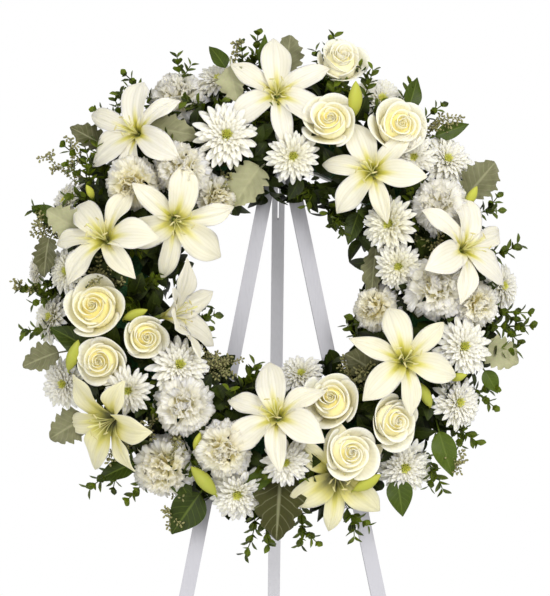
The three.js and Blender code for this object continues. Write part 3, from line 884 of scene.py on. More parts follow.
@dataclass
class Palette:
    """Every plant finish, made once."""

    # Waxy lily skin: soft near-white with faint veins and a green-yellow throat, and little gloss.
    lily: Material = made(PetalFinish(
        "lily_petal_waxy",
        stops=((0.0, "#e9e4d4"), (0.28, "#e2dba8"), (0.58, "#ccc44c"), (0.84, "#949020"), (1.0, "#474a14")),
        heart_start=0.20, heart_end=0.42, strong=0.8, rib_reach=0.26, veins=9, rough=0.42, vein_depth=0.5,
        furrow_tint_and_shade=0.10))
    # Fresh filaments and style: smooth threads of a pale green, a little darker at random.
    filament: Material = made(LeafFinish(
        "lily_filament_pale_green", dark="#b4ac46", light="#ddd88c", vein="#e6e2a4", rough=0.4,
        veins=0.5))
    # Closed anthers: dry and matt, straw-coloured.
    anther: Material = made(LeafFinish(
        "lily_anther_pale", dark="#b3a55a", light="#d6cd92", vein="#e0d8a4", rough=0.8, veins=0.5))
    # Velvety rose petals: creamy rims over a yellow heart, with hardly any veins.
    rose: Material = made(PetalFinish(
        "rose_petal_velvety", stops=((0.0, "#fbf5dc"), (0.4, "#f8ecaa"), (1.0, "#eed455")),
        heart_start=0.66, heart_end=0.6, strong=0.45, veins=14, rough=0.55, vein_depth=0.12))
    # Matt chrysanthemum rays: white straps with a few grooves, yellow-green at the foot.
    mum: Material = made(PetalFinish(
        "chrysanthemum_ray_matt", stops=((0.0, "#fdf9e6"), (0.5, "#f3ebaa"), (1.0, "#dcd65c")),
        heart_start=0.3, heart_end=0.5, strong=0.45, veins=3, rough=0.55, vein_depth=0.4))
    # Unopened disc florets: matt yellow-green beads, paler outwards.
    disc: Material = made(LeafFinish(
        "chrysanthemum_disc_florets", dark="#c6c83e", light="#f8f69c", vein="#f4f2ac", rough=0.6,
        veins=0.5))
    # Papery carnation petals: white frills that turn cream deep in the head.
    carnation: Material = made(PetalFinish(
        "carnation_petal_papery", stops=((0.0, "#fffbea"), (0.5, "#fbefb8"), (1.0, "#f0d878")),
        heart_start=0.62, heart_end=0.6, strong=0.5, veins=9, rough=0.6, vein_depth=0.3))
    # Fresh cut stems: smooth mid green.
    stem: Material = made(LeafFinish(
        "flower_stem_fresh", dark="#343f12", light="#667528", vein="#7d8a3c", rough=0.45, veins=1.0))
    # Closed lily buds: smooth skin between green and yellow.
    bud: Material = made(LeafFinish(
        "lily_bud_green_yellow", dark="#5f6e10", light="#aeb02a", vein="#c4c65c", rough=0.4,
        veins=0.5))
    # Waxy myrtle: small leaves that run from near black to a warm mid green.
    myrtle: Material = made(LeafFinish(
        "myrtle_leaf_waxy", dark="#161d03", light="#6c7c18", vein="#7c883a", rough=0.42))
    # Leaves deep in the bed, with painted shade: near black and dull, standing in for the shade that falls
    # between the flowers, so that the flowers stand out from them.
    bed_painted_shade: Material = made(LeafFinish(
        "bed_leaf_painted_shade", dark="#0c1002", light="#36420f", vein="#46521c", rough=0.5))
    # Glossy salal: broad dark green blades with clear side veins.
    salal: Material = made(LeafFinish(
        "salal_leaf_glossy", dark="#202a06", light="#4c5e10", vein="#66762c", rough=0.38))
    # Felted dusty miller: grey-green under white hairs, which hide most of its veins.
    miller: Material = made(LeafFinish(
        "grey_leaf_felted", dark="#3e3e19", light="#b2b18a", vein="#b8b790", rough=0.8, felt=0.25,
        vein_share=0.35))
    # Eucalyptus seeds: small matt olive-brown capsules.
    seed: Material = made(LeafFinish(
        "eucalyptus_seed_matt", dark="#45431c", light="#8f8b58", vein="#a39f70", rough=0.65,
        veins=0.5))


# --- flowers
@dataclass
class LilyHead:
    """A lily: three broad and three narrow petals that part at the throat and curl back at their tips.

    Attributes:
        broad: width of the inner petals as a share of the span.
        narrow: width of the outer petals.
        outline: half width along a petal, as a share of its widest.
        leans: a petal's angle to the flower's axis along it, degrees.
        thick: a petal's thickness.
    """

    broad: float = 0.29
    narrow: float = 0.205
    outline: tuple[tuple[float, float], ...] = (
        (0.0, 0.22), (0.12, 0.34), (0.26, 0.62), (0.40, 0.88), (0.54, 1.0),
        (0.68, 0.93), (0.80, 0.69), (0.90, 0.38), (0.96, 0.17), (1.0, 0.03),
    )
    leans: tuple[tuple[float, float], ...] = ((0.0, 18), (0.20, 56), (0.43, 82), (0.70, 102), (1.0, 140))
    thick: float = 0.9 * MM

    def petal(self, span: float, angle: float, broad: bool, opened: float, rng: Rng) -> Grid:
        """The surface of one petal.

        Args:
            span: across the flower, metres.
            angle: clockwise from the head's top, radians.
            broad: whether it is one of the broad inner petals.
            opened: 1 for a fully open lily.
            rng: random source.

        Returns:
            The surface function.
        """
        length = span * (0.61 + rng.uniform(-0.03, 0.02))
        wide = span * (self.broad if broad else self.narrow) * rng.uniform(0.94, 1.06)
        more = rng.uniform(-14, 16)
        twist = rng.uniform(-0.35, 0.35)
        wave = rng.uniform(0, 6.28)
        sag = rng.uniform(-0.010, 0.010)

        def surface(u: Array, v: Array) -> Array:
            """Place the petal's grid."""
            fine = np.linspace(0, 1, 60)
            lean = np.radians((curve(self.leans, fine) + more * fine**2) * opened)
            out = np.concatenate([[0], np.cumsum(np.sin(lean[:-1]))]) / 59 * length
            rise = np.concatenate([[0], np.cumsum(np.cos(lean[:-1]))]) / 59 * length
            radial = np.interp(u, fine, out) + 2.4 * MM
            height = np.interp(u, fine, rise) + (1.4 * MM if broad else 0.0)
            slope = np.interp(u, fine, lean)
            half = wide / 2 * curve(self.outline, u)
            turn = twist * u**2
            side = v * half * np.cos(turn)
            # A channel near the throat, a keel down the middle between two grooves, and ruffled edges.
            cup = half * (0.62 * (1 - u) ** 1.6 + 0.10) * v**2
            grooves = 0.8 * np.exp(-(((np.abs(v) - 0.24) / 0.12) ** 2))
            keel = 1.5 * MM * (np.exp(-((v / 0.10) ** 2)) - grooves)
            keel = keel * np.sin(math.pi * np.clip(u * 0.92 + 0.04, 0, 1))
            ruffle = 0.028 * span * np.sin(u * 10 + wave + v * 1.4) * np.abs(v) ** 2.5 * np.sin(math.pi * u)
            droop = -0.20 * half * np.abs(v) ** 3 * smooth(0.4, 1.0, u)
            lift = cup + keel + ruffle + droop + v * half * np.sin(turn)
            radial = radial - lift * np.cos(slope)
            height = height + lift * np.sin(slope)
            return beside_axis(angle, radial, side + sag * u**2, height)

        return surface

    def build(self, parts: MeshParts, bloom: Bloom, rng: Rng) -> None:
        """Add the head's petals, stamens and pistil in its own frame.

        Args:
            parts: what they are added to.
            bloom: the flower.
            rng: random source.
        """
        span = bloom.span * MM
        for k in range(6):
            angle = math.radians(60 * k + rng.uniform(-6, 6))
            surface = self.petal(span, angle, k % 2 == 0, bloom.open, rng)
            shell(parts, surface, 20, 14, self.thick, rng.uniform(), bloom.tone, crowd=1.15)
        for k in range(6):
            angle = math.radians(60 * k + 30 + rng.uniform(-8, 8))
            self.stamen(parts, angle, math.radians(rng.uniform(14, 26)), rng)
        t = np.linspace(0, 1, 9)
        bow = rng.uniform(-0.005, 0.005)
        path = np.stack([bow * t**2, 0.006 * t**2, 0.004 + 0.052 * t], axis=1)
        radii = [1.5, 1.2, 0.9, 0.8, 0.8, 0.8, 0.9, 1.6, 1.1]
        tube(parts, path, [r * MM for r in radii], 7, 0.9, 0.0, 1)
        spool(parts, [(-10, 2.2), (-4, 3.4), (1, 3.6), (6, 2.4)], MM, 10, 0.4, material=3)

    def stamen(self, parts: MeshParts, angle: float, spread: float, rng: Rng) -> None:
        """Add one stamen: a thin curved filament with its anther balanced across the end.

        Args:
            parts: what it is added to.
            angle: clockwise from the head's top, radians.
            spread: how far it leans from the axis, radians.
            rng: random source.
        """
        t = np.linspace(0, 1, 8)
        length = rng.uniform(0.040, 0.047)
        lean = spread * (0.4 + 1.1 * t)
        out = np.cumsum(np.sin(lean)) * length / 8
        rise = 0.004 + np.cumsum(np.cos(lean)) * length / 8
        path = np.stack([np.sin(angle) * out, np.cos(angle) * out, rise], axis=1)
        tube(parts, path, np.linspace(0.75, 0.45, 8) * MM, 5, 0.8, 0.0, 1)
        end = path[-1]
        across = np.array([math.cos(angle + 0.6), -math.sin(angle + 0.6), 0.15])
        anther = end + across * np.linspace(-0.0042, 0.0042, 5)[:, None]
        tube(parts, anther, np.array([0.5, 1.1, 1.25, 1.1, 0.5]) * MM, 6, rng.uniform(0, 0.6), 0.0, 2)


@dataclass(frozen=True)
class RoseRow:
    """One row of rose petals.

    Attributes:
        count: petals in the row.
        rim: how far out their rims stand, in half spans.
        top: how high their rims are, in half spans.
        reach: how far each wraps to either side, degrees.
        roll: how far each rim rolls outwards, degrees.
    """

    count: int
    rim: float
    top: float
    reach: float
    roll: float


@dataclass
class RoseHead:
    """An open garden rose: a tight spiral heart inside flared petals that roll their rims outwards.

    Attributes:
        rows: the rows of petals, from the heart outwards.
        dome: height and radius of the folded petals between the rows, in half spans.
        thick: a petal's thickness.
    """

    rows: tuple[RoseRow, ...] = (
        RoseRow(2, 0.04, 0.42, 130, 5),
        RoseRow(3, 0.11, 0.46, 110, 15),
        RoseRow(3, 0.22, 0.47, 92, 35),
        RoseRow(3, 0.38, 0.41, 82, 55),
        RoseRow(3, 0.60, 0.27, 78, 85),
        RoseRow(4, 0.87, 0.04, 66, 108),
    )
    dome: tuple[tuple[float, float], ...] = (
        (0.34, 0.03), (0.31, 0.14), (0.24, 0.28), (0.13, 0.44),
        (-0.03, 0.60), (-0.25, 0.62), (-0.5, 0.45), (-0.7, 0.2),
    )
    thick: float = 0.6 * MM

    def petal(self, size: float, row: RoseRow, angle: float, opened: float, rng: Rng) -> Grid:
        """The surface of one petal.

        Args:
            size: half of the head's span, metres.
            row: the row that it stands in.
            angle: its bearing, radians.
            opened: 1 for a fully open rose.
            rng: random source.

        Returns:
            The surface function.
        """
        rim = row.rim * size * (0.2 + 0.8 * opened) * rng.uniform(0.88, 1.06)
        top = (row.top + rng.uniform(-0.05, 0.06)) * size
        reach = math.radians(row.reach * rng.uniform(0.92, 1.08))
        roll = math.radians(row.roll + rng.uniform(-20, 15))
        bend = size * (0.018 + 0.065 * row.rim)
        slip = size * (0.03 + 0.12 * row.rim)
        bottom = -0.75 * size
        hip = 0.04 * size
        flare = math.radians(62)
        phase = rng.uniform(0, 6.28)
        nip = rng.uniform(0.0, 0.06) * row.rim

        def surface(u: Array, v: Array) -> Array:
            """Place the petal's grid."""
            start = 0.80
            fullness = 1 - (0.10 + 0.16 * row.rim) * np.abs(v) ** 3 + nip * np.exp(-((v / 0.2) ** 2))
            climb = np.clip(u / start, 0, 1) * fullness
            # The wall is part of a bowl, still flaring where the rim starts to roll.
            swing = climb * flare
            radius = hip + (rim - hip) * np.sin(swing) / math.sin(flare)
            height = bottom + (top - bottom) * ((1 - np.cos(swing)) / (1 - math.cos(flare))) ** 0.75
            over = np.clip((u - start) / (1 - start), 0, 1) * roll
            radius = radius + bend * (1.25 - np.cos(over) - 0.25 * np.cos(3 * over))
            height = height + bend * np.sin(over)
            radius = radius + slip * v * climb
            radius = radius + 0.07 * row.rim * size * np.sin(3.4 * v + phase) * u**3
            height = height + 0.06 * row.rim * size * np.sin(4.3 * v - phase) * u**3
            bearing = angle + v * reach * (0.45 + 0.55 * np.sin(climb * math.pi / 2))
            return np.stack([np.sin(bearing) * radius, np.cos(bearing) * radius, height], axis=2)

        return surface

    def build(self, parts: MeshParts, bloom: Bloom, rng: Rng) -> None:
        """Add the head's petals and its calyx in its own frame.

        Args:
            parts: what they are added to.
            bloom: the flower.
            rng: random source.
        """
        size = bloom.span * MM / 2
        for number, row in enumerate(self.rows):
            for k in range(row.count):
                angle = math.tau * k / row.count + 2.1 * number + rng.uniform(-0.12, 0.12)
                tone = float(np.clip(bloom.tone * (1.2 - 0.65 * row.rim), 0, 1))
                surface = self.petal(size, row, angle, bloom.open, rng)
                shell(parts, surface, 16, 18, self.thick, rng.uniform() * 0.7, tone)
        # The folded petals packed between the rows, as one dome that glows through the gaps.
        spread = 0.3 + 0.7 * bloom.open
        dome = [(height, radius * spread) for height, radius in self.dome]
        spool(parts, dome, size, 20, 0.3, 0.6 * bloom.tone)
        spool(parts, [(-1.0, 0.08), (-0.92, 0.2), (-0.82, 0.26), (-0.72, 0.16)], size, 10, 0.4, material=1)
        for k in range(5):
            self.sepal(parts, size, math.tau * k / 5, rng)

    def sepal(self, parts: MeshParts, size: float, angle: float, rng: Rng) -> None:
        """Add one of the narrow green sepals under the head.

        Args:
            parts: what it is added to.
            size: half of the head's span, metres.
            angle: its bearing, radians.
            rng: random source.
        """

        def surface(u: Array, v: Array) -> Array:
            """Place the sepal's grid."""
            half = size * 0.13 * np.maximum(np.sin(math.pi * u**0.6) ** 0.9, 0.05)
            radius = size * (0.22 + 0.46 * u)
            height = size * (-0.84 + 0.18 * u - 0.30 * u**3)
            bearing = angle + v * half / radius
            return np.stack([np.sin(bearing) * radius, np.cos(bearing) * radius, height], axis=2)

        shell(parts, surface, 8, 4, 0.7 * MM, rng.uniform(), 0.0, 1)


@dataclass
class CarnationHead:
    """A carnation: dozens of fan-shaped petals with ruffled, toothed rims, crammed into one ball.

    Attributes:
        petals: how many petals.
        cells: cells along and across a petal.
        shoulder: how far out a petal's claw ends and its fan starts, in half spans.
        fan: length of the fan, in half spans.
        ruffle: height of the ruffles, in half spans.
        thick: a petal's thickness.
    """

    petals: int = 50
    cells: tuple[int, int] = (7, 24)
    shoulder: float = 0.50
    fan: float = 0.52
    ruffle: float = 0.085
    thick: float = 0.35 * MM

    def petal(self, size: float, share: float, angle: float, rng: Rng) -> Grid:
        """The surface of one petal.

        Args:
            size: half of the head's span, metres.
            share: 0 for the innermost petal, 1 for the outermost.
            angle: its bearing, radians.
            rng: random source.

        Returns:
            The surface function.
        """
        polar = math.acos(1 - share * (1 - math.cos(math.radians(100)))) + math.radians(rng.uniform(-5, 5))
        claw = self.shoulder * size * rng.uniform(0.9, 1.08)
        fan = self.fan * size * rng.uniform(0.88, 1.12)
        # Petals of the heart stand and curl in; the outer ones open outwards.
        bend = math.radians(rng.uniform(-75, 25) + 75 * smooth(0.05, 0.5, np.array(share)))
        wide = size * (rng.uniform(0.5, 0.62) + 0.38 * share**0.5)
        folds = rng.uniform(1.4, 2.1)
        phase = rng.uniform(0, 6.28)
        swing = rng.uniform(-0.35, 0.35)
        teeth = rng.uniform(5.5, 7.0)
        curl = rng.uniform(-0.5, 0.7)

        def surface(u: Array, v: Array) -> Array:
            """Place the petal's grid."""
            start = 0.34
            along_claw = np.clip(u / start, 0, 1) * claw
            spread = np.clip((u - start) / (1 - start), 0, 1)
            tooth = 0.035 * np.sin(v * teeth * math.pi + phase) * smooth(0.75, 1.0, spread)
            reach = spread * fan * (1 - 0.30 * v**2 + tooth)
            turned = bend * spread + curl * 0.45 * spread**3
            # The fan's arc is close to straight, so half of its turn gives the chord's direction.
            chord = polar + turned / 2
            face = polar + turned
            half = wide / 2 * (0.10 + 0.90 * smooth(-0.15, 1.0, spread) ** 1.1)
            ruffle = self.ruffle * size
            pleat = ruffle * spread**1.3 * np.sin(v * folds * math.pi + phase)
            pleat = pleat + 0.38 * ruffle * spread**2 * np.sin(v * folds * 2.9 * math.pi + 2.3 * phase)
            lift = pleat + 0.16 * half * v**2
            radial = along_claw * math.sin(polar) + reach * np.sin(chord) - lift * np.cos(face)
            height = along_claw * math.cos(polar) + reach * np.cos(chord) + lift * np.sin(face)
            side = v * half + swing * reach
            return beside_axis(angle, radial + 0.02 * size, side, height - 0.38 * size)

        return surface

    def build(self, parts: MeshParts, bloom: Bloom, rng: Rng) -> None:
        """Add the head's petals and its green calyx in its own frame.

        Args:
            parts: what they are added to.
            bloom: the flower.
            rng: random source.
        """
        size = bloom.span * MM / 2
        for i in range(self.petals):
            share = ((i + 0.5) / self.petals) ** 1.35
            angle = i * GOLDEN_ANGLE + rng.uniform(-0.25, 0.25)
            tone = float(np.clip(bloom.tone * (1.2 - 0.8 * share), 0, 1))
            surface = self.petal(size, share, angle, rng)
            shell(parts, surface, self.cells[0], self.cells[1], self.thick, rng.uniform(), tone)
        spool(parts, [(-0.95, 0.10), (-0.86, 0.19), (-0.5, 0.22), (-0.34, 0.16)], size, 10, 0.6, material=1)


# --- what Geometry Nodes repeat
@dataclass
class NodeTool:
    """A Geometry Nodes tree with named inputs, run once on a carrier object and turned into a plain mesh.

    Attributes:
        name: the tree's name.
        sockets: label and type of each named input.
        tree: the tree.
        entry: its Group Input node.
    """

    name: str
    sockets: dict[str, str]
    tree: NodeTree = field(init=False)
    entry: Node = field(init=False)

    def __post_init__(self) -> None:
        """Make the empty tree with its inputs."""
        self.tree = bpy.data.node_groups.new(self.name, "GeometryNodeTree")
        face = self.tree.interface
        face.new_socket("Geometry", in_out="INPUT", socket_type="NodeSocketGeometry")
        for label, kind in self.sockets.items():
            face.new_socket(label, in_out="INPUT", socket_type=f"NodeSocket{kind}")
        face.new_socket("Geometry", in_out="OUTPUT", socket_type="NodeSocketGeometry")
        self.entry = self.tree.nodes.new("NodeGroupInput")

    @property
    def put(self) -> Callable[..., Node]:
        """What adds a node to this tree, as add_node does."""
        return partial(add_node, self.tree)

    def copies(self, points: Node, unit: NodeSocket, rotation: Node, scale: Node | NodeSocket) -> Node:
        """Set copies of a unit object on points.

        Args:
            points: where they stand.
            unit: the input that names the unit.
            rotation: how each is turned.
            scale: how large each is.

        Returns:
            The node that gives the instances.
        """
        shape = self.put("GeometryNodeObjectInfo", links={"Object": unit})
        return self.put("GeometryNodeInstanceOnPoints", links={
            "Points": points, "Instance": shape.outputs["Geometry"], "Rotation": rotation, "Scale": scale})

    def close(self, geometry: Node) -> None:
        """End the tree in Realize Instances and Set Material.

        Args:
            geometry: the finished instances.
        """
        real = self.put("GeometryNodeRealizeInstances", links={0: geometry})
        dressed = self.put("GeometryNodeSetMaterial",
                           links={"Geometry": real, "Material": self.entry.outputs["Material"]})
        self.put("NodeGroupOutput", links={0: dressed})

    def run(self, carrier: Object, values: dict[str, object]) -> Mesh:
        """Run the tree on a carrier and take the result away as a plain mesh.

        Args:
            carrier: the object that carries the modifier; it is removed.
            values: the inputs by name.

        Returns:
            The plain mesh.
        """
        modifier = carrier.modifiers.new(self.name, "NODES")
        modifier.node_group = self.tree
        for item in self.tree.interface.items_tree:
            if item.item_type == "SOCKET" and item.in_out == "INPUT" and item.name in values:
                modifier[item.identifier] = values[item.name]
        bpy.context.view_layer.update()
        graph = bpy.context.evaluated_depsgraph_get()
        mesh = bpy.data.meshes.new_from_object(carrier.evaluated_get(graph), depsgraph=graph)
        carrier.modifiers.remove(modifier)
        bpy.data.objects.remove(carrier, do_unlink=True)
        return mesh


def whorl_tool() -> NodeTool:
    """A tree that sets copies of one ray round an axis by the golden angle, steeper and shorter inside.

    Returns:
        The tool; its sizes each have an inner and an outer value.
    """
    spans = ("Size", "Lean", "Radius", "Rise")
    floats = {f"{end} {span}": "Float" for span in spans for end in ("Inner", "Outer")}
    floats["Jitter"] = "Float"
    tool = NodeTool("GoldenWhorls", {
        "Ray": "Object", "Count": "Int", "Seed": "Int", "Material": "Material", **floats})
    given, put = tool.entry.outputs, tool.put
    line = put("GeometryNodeMeshLine", links={"Count": given["Count"]})
    index = put("GeometryNodeInputIndex")
    last = put("ShaderNodeMath", {1: 1.0}, {0: given["Count"]}, operation="SUBTRACT")
    share = put("ShaderNodeMath", links={0: index, 1: last}, operation="DIVIDE")
    turn = put("ShaderNodeMath", {1: -GOLDEN_ANGLE}, {0: index}, operation="MULTIPLY")

    def chance(low: float, high: float, seed_step: int) -> NodeSocket:
        """A random float for each ray."""
        seed = put("ShaderNodeMath", {1: float(seed_step)}, {0: given["Seed"]}, operation="ADD")
        value = put("FunctionNodeRandomValue", {2: low, 3: high}, {"ID": index, "Seed": seed},
                    data_type="FLOAT")
        return value.outputs[1]

    size, lean, out, rise = (
        put("ShaderNodeMapRange", {1: 0.0, 2: 1.0},
            {0: share, 3: given[f"Inner {span}"], 4: given[f"Outer {span}"]})
        for span in spans
    )
    wobble = put("ShaderNodeMath", links={0: chance(-1, 1, 11), 1: given["Jitter"], 2: lean},
                 operation="MULTIPLY_ADD")
    back = put("ShaderNodeMath", {1: -1.0}, {0: wobble}, operation="MULTIPLY")
    swing = put("ShaderNodeMath", links={0: turn, 1: chance(-0.12, 0.12, 23)}, operation="ADD")
    rotation = put("ShaderNodeCombineXYZ", links={0: back, 2: swing})
    sized = put("ShaderNodeMath", links={0: size, 1: chance(0.9, 1.06, 37)}, operation="MULTIPLY")
    spot = put("ShaderNodeCombineXYZ", links={1: out, 2: rise})
    placed = put("ShaderNodeVectorRotate", {"Axis": (0.0, 0.0, 1.0)}, {"Vector": spot, "Angle": swing},
                 rotation_type="AXIS_ANGLE")
    points = put("GeometryNodeSetPosition", links={"Geometry": line, "Position": placed})
    tool.close(tool.copies(points, given["Ray"], rotation, sized))
    return tool


def sprig_tool() -> NodeTool:
    """A tree that turns stem lines into round stems and sets leaf pairs or seed knots along them.

    Returns:
        The tool; its carrier's points hold how large a leaf grows there.
    """
    tool = NodeTool("LeafySprigs", {
        "Leaf": "Object", "Spacing": "Float", "Stem Radius": "Float", "Pair Turn": "Float", "Seed": "Int",
        "Material": "Material"})
    given, put = tool.entry.outputs, tool.put
    curve = put("GeometryNodeMeshToCurve", links={0: given["Geometry"]})
    grow = put("GeometryNodeInputNamedAttribute", {"Name": "grow"}, data_type="FLOAT")
    dots = put("GeometryNodeCurveToPoints", links={"Curve": curve, "Length": given["Spacing"]},
               mode="LENGTH")
    index = put("GeometryNodeInputIndex")
    spin = put("ShaderNodeMath", links={0: index, 1: given["Pair Turn"]}, operation="MULTIPLY")
    wander = put("FunctionNodeRandomValue", {2: -0.4, 3: 0.4}, {"Seed": given["Seed"]}, data_type="FLOAT")
    turned = put("ShaderNodeMath", links={0: spin, 1: wander.outputs[1]}, operation="ADD")
    about = put("FunctionNodeAxisAngleToRotation", {"Axis": (0.0, 0.0, 1.0)}, {"Angle": turned})
    rotation = put("FunctionNodeRotateRotation", links={0: dots.outputs["Rotation"], 1: about},
                   rotation_space="LOCAL")
    leaves = tool.copies(dots, given["Leaf"], rotation, grow)
    ring = put("GeometryNodeCurvePrimitiveCircle", {"Resolution": 5}, {"Radius": given["Stem Radius"]})
    stems = put("GeometryNodeCurveToMesh", {"Fill Caps": True}, {"Curve": curve, "Profile Curve": ring})
    both = put("GeometryNodeJoinGeometry", links={0: leaves})
    tool.tree.links.new(stems.outputs[0], both.inputs[0])
    tool.close(both)
    return tool


def scatter_tool() -> NodeTool:
    """A tree that strews copies of one leaf over a surface, each lifted and turned by chance.

    Returns:
        The tool.
    """
    tool = NodeTool("StrewnLeaves", {
        "Leaf": "Object", "Density": "Float", "Lean": "Float", "Seed": "Int", "Material": "Material"})
    given, put = tool.entry.outputs, tool.put
    dots = put("GeometryNodeDistributePointsOnFaces", links={
        "Mesh": given["Geometry"], "Density": given["Density"], "Seed": given["Seed"]})
    spin = put("FunctionNodeRandomValue", {3: math.tau}, {"Seed": given["Seed"]}, data_type="FLOAT")
    about = put("FunctionNodeAxisAngleToRotation", {"Axis": (0.0, 0.0, 1.0)}, {"Angle": spin.outputs[1]})
    turned = put("FunctionNodeRotateRotation", links={0: dots.outputs["Rotation"], 1: about},
                 rotation_space="LOCAL")
    tip = put("FunctionNodeRandomValue", links={3: given["Lean"]}, data_type="FLOAT")
    lifted = put("FunctionNodeAxisAngleToRotation", {"Axis": (1.0, 0.0, 0.0)}, {"Angle": tip.outputs[1]})
    rotation = put("FunctionNodeRotateRotation", links={0: turned, 1: lifted}, rotation_space="LOCAL")
    size = put("FunctionNodeRandomValue", {2: 0.7, 3: 1.25}, data_type="FLOAT")
    tool.close(tool.copies(dots, given["Leaf"], rotation, size.outputs[1]))
    return tool


def read_mesh(mesh: Mesh) -> tuple[Array, Array]:
    """Read a mesh back as arrays.

    Args:
        mesh: the mesh.

    Returns:
        Its points, n by 3, and its colour guides, n by 4.
    """
    points = np.empty(len(mesh.vertices) * 3, np.float32)
    mesh.vertices.foreach_get("co", points)
    guide = np.empty(len(mesh.vertices) * 4, np.float32)
    mesh.attributes["guide"].data.foreach_get("color", guide)
    return points.reshape(-1, 3), guide.reshape(-1, 4)


def lines_object(name: str, lines: Sequence[Array], grows: Sequence[Array]) -> Object:
    """Make a carrier of stem lines, with how large a leaf is at each point.

    Args:
        name: its name.
        lines: n by 3 points of each line.
        grows: the leaf's size at each point of each line.

    Returns:
        The carrier object.
    """
    mesh = bpy.data.meshes.new(name)
    edges = []
    start = 0
    for line in lines:
        edges += [(start + i, start + i + 1) for i in range(len(line) - 1)]
        start += len(line)
    mesh.from_pydata(np.concatenate(lines).tolist(), edges, [])
    attribute = mesh.attributes.new("grow", "FLOAT", "POINT")
    attribute.data.foreach_set("value", np.concatenate(grows).astype(np.float32))
    return link(name, mesh)


@dataclass
class MumHead:
    """A spray chrysanthemum: whorls of strap-shaped rays round a button of small green-yellow florets.

    Attributes:
        tool: the whorl tool.
        finish: the materials.
        rays: how many rays.
        florets: how many florets.
        ray: the ray that is repeated.
        floret: the floret that is repeated.
    """

    tool: NodeTool
    finish: Palette
    rays: int = 108
    florets: int = 40
    ray: Object = field(init=False)
    floret: Object = field(init=False)

    def __post_init__(self) -> None:
        """Make the ray and the floret that are repeated, each one unit long."""

        def strap(u: Array, v: Array) -> Array:
            """A ray: narrow foot, parallel sides, round tip, cupped towards the eye."""
            half = 0.142 * (0.30 + 0.70 * smooth(0.0, 0.7, u))
            half = half * np.maximum(1 - np.clip((u - 0.62) / 0.385, 0, 1) ** 2.0, 0.0) ** 0.7
            cup = 0.45 * half * v**2 - 0.012 * np.cos(v * 7) * u + 0.10 * np.sin(u * 2.8)
            return np.stack([v * half, u, cup], axis=2)

        def bead(u: Array, v: Array) -> Array:
            """A floret: a short blunt tube, drawn as a folded scale."""
            half = 0.26 * np.maximum(np.sin(math.pi * np.clip(u * 0.9 + 0.06, 0, 1)), 0.1)
            return np.stack([v * half, u, -0.5 * half * v**2], axis=2)

        self.ray = self.unit("ray_unit", strap, 7, 4, 0.02)
        self.floret = self.unit("floret_unit", bead, 3, 2, 0.16)

    def unit(self, name: str, surface: Grid, along: int, across: int, thick: float) -> Object:
        """Make one repeated shape, which is removed when every flower is done.

        Args:
            name: its name.
            surface: its middle surface.
            along: cells along it.
            across: cells across it.
            thick: its thickness, in its own length.

        Returns:
            The object.
        """
        parts = MeshParts()
        shell(parts, surface, along, across, thick, 0.5, 0.5, crowd=1.7)
        return parts.object(name, [])

    def build(self, parts: MeshParts, bloom: Bloom, rng: Rng) -> None:
        """Add the head's rays, florets and green cup in its own frame.

        Args:
            parts: what they are added to.
            bloom: the flower.
            rng: random source.
        """
        size = bloom.span * MM / 2
        seed = int(rng.integers(1, 9999))
        rays = self.whorl(self.ray, self.rays, seed, self.finish.mum, {
            "Inner Size": 0.32 * size, "Outer Size": 0.84 * size, "Inner Lean": math.radians(-60),
            "Outer Lean": math.radians(8), "Inner Radius": 0.11 * size, "Outer Radius": 0.20 * size,
            "Inner Rise": -0.02 * size, "Outer Rise": -0.18 * size, "Jitter": 0.10})
        self.take(parts, rays, 0, bloom.tone, rng)
        eye = self.whorl(self.floret, self.florets, seed + 5, self.finish.disc, {
            "Inner Size": 0.16 * size, "Outer Size": 0.20 * size, "Inner Lean": math.radians(-90),
            "Outer Lean": math.radians(-66), "Inner Radius": 0.0, "Outer Radius": 0.13 * size,
            "Inner Rise": 0.0, "Outer Rise": -0.03 * size, "Jitter": 0.06})
        self.take(parts, eye, 1, bloom.tone, rng)
        cup = [(-0.36, 0.08), (-0.28, 0.24), (-0.14, 0.30), (-0.03, 0.12)]
        spool(parts, cup, size, 10, 0.5, material=2)

    def whorl(
        self, unit: Object, count: int, seed: int, material: Material, sizes: dict[str, float]
    ) -> Mesh:
        """Run the whorl tool for one head's rays or florets.

        Args:
            unit: what is repeated.
            count: how many.
            seed: random seed.
            material: the finish.
            sizes: the tool's sizes by name.

        Returns:
            The plain mesh.
        """
        carrier = link("whorl_carrier", bpy.data.meshes.new("whorl_carrier"))
        values = {"Ray": unit, "Count": count, "Seed": seed, "Material": material, **sizes}
        return self.tool.run(carrier, values)

    def take(self, parts: MeshParts, mesh: Mesh, slot: int, tone: float, rng: Rng) -> None:
        """Move a whorl's mesh into the flower's parts, with its own chance for each ray.

        Args:
            parts: what it is added to.
            mesh: the whorl; it is removed.
            slot: number of the material: 0 for rays, 1 for florets.
            tone: the flower's tone.
            rng: random source.
        """
        points, guide = read_mesh(mesh)
        unit = self.ray if slot == 0 else self.floret
        each = len(unit.data.vertices)
        copies = len(points) // each
        guide[:, 2] = np.repeat(rng.uniform(0, 1, copies), each)
        # The inner rays of a toned flower are the most coloured.
        guide[:, 3] = np.repeat(tone * np.linspace(1.0, 0.55, copies), each)
        if slot == 1:
            guide[:, 2] = np.repeat(np.linspace(0.0, 1.0, copies) ** 1.2 * (1.1 - 0.5 * tone), each)
        faces = np.array([list(p.vertices) for p in mesh.polygons])
        parts.add(points.astype(float), faces, guide, slot)
        bpy.data.meshes.remove(mesh)


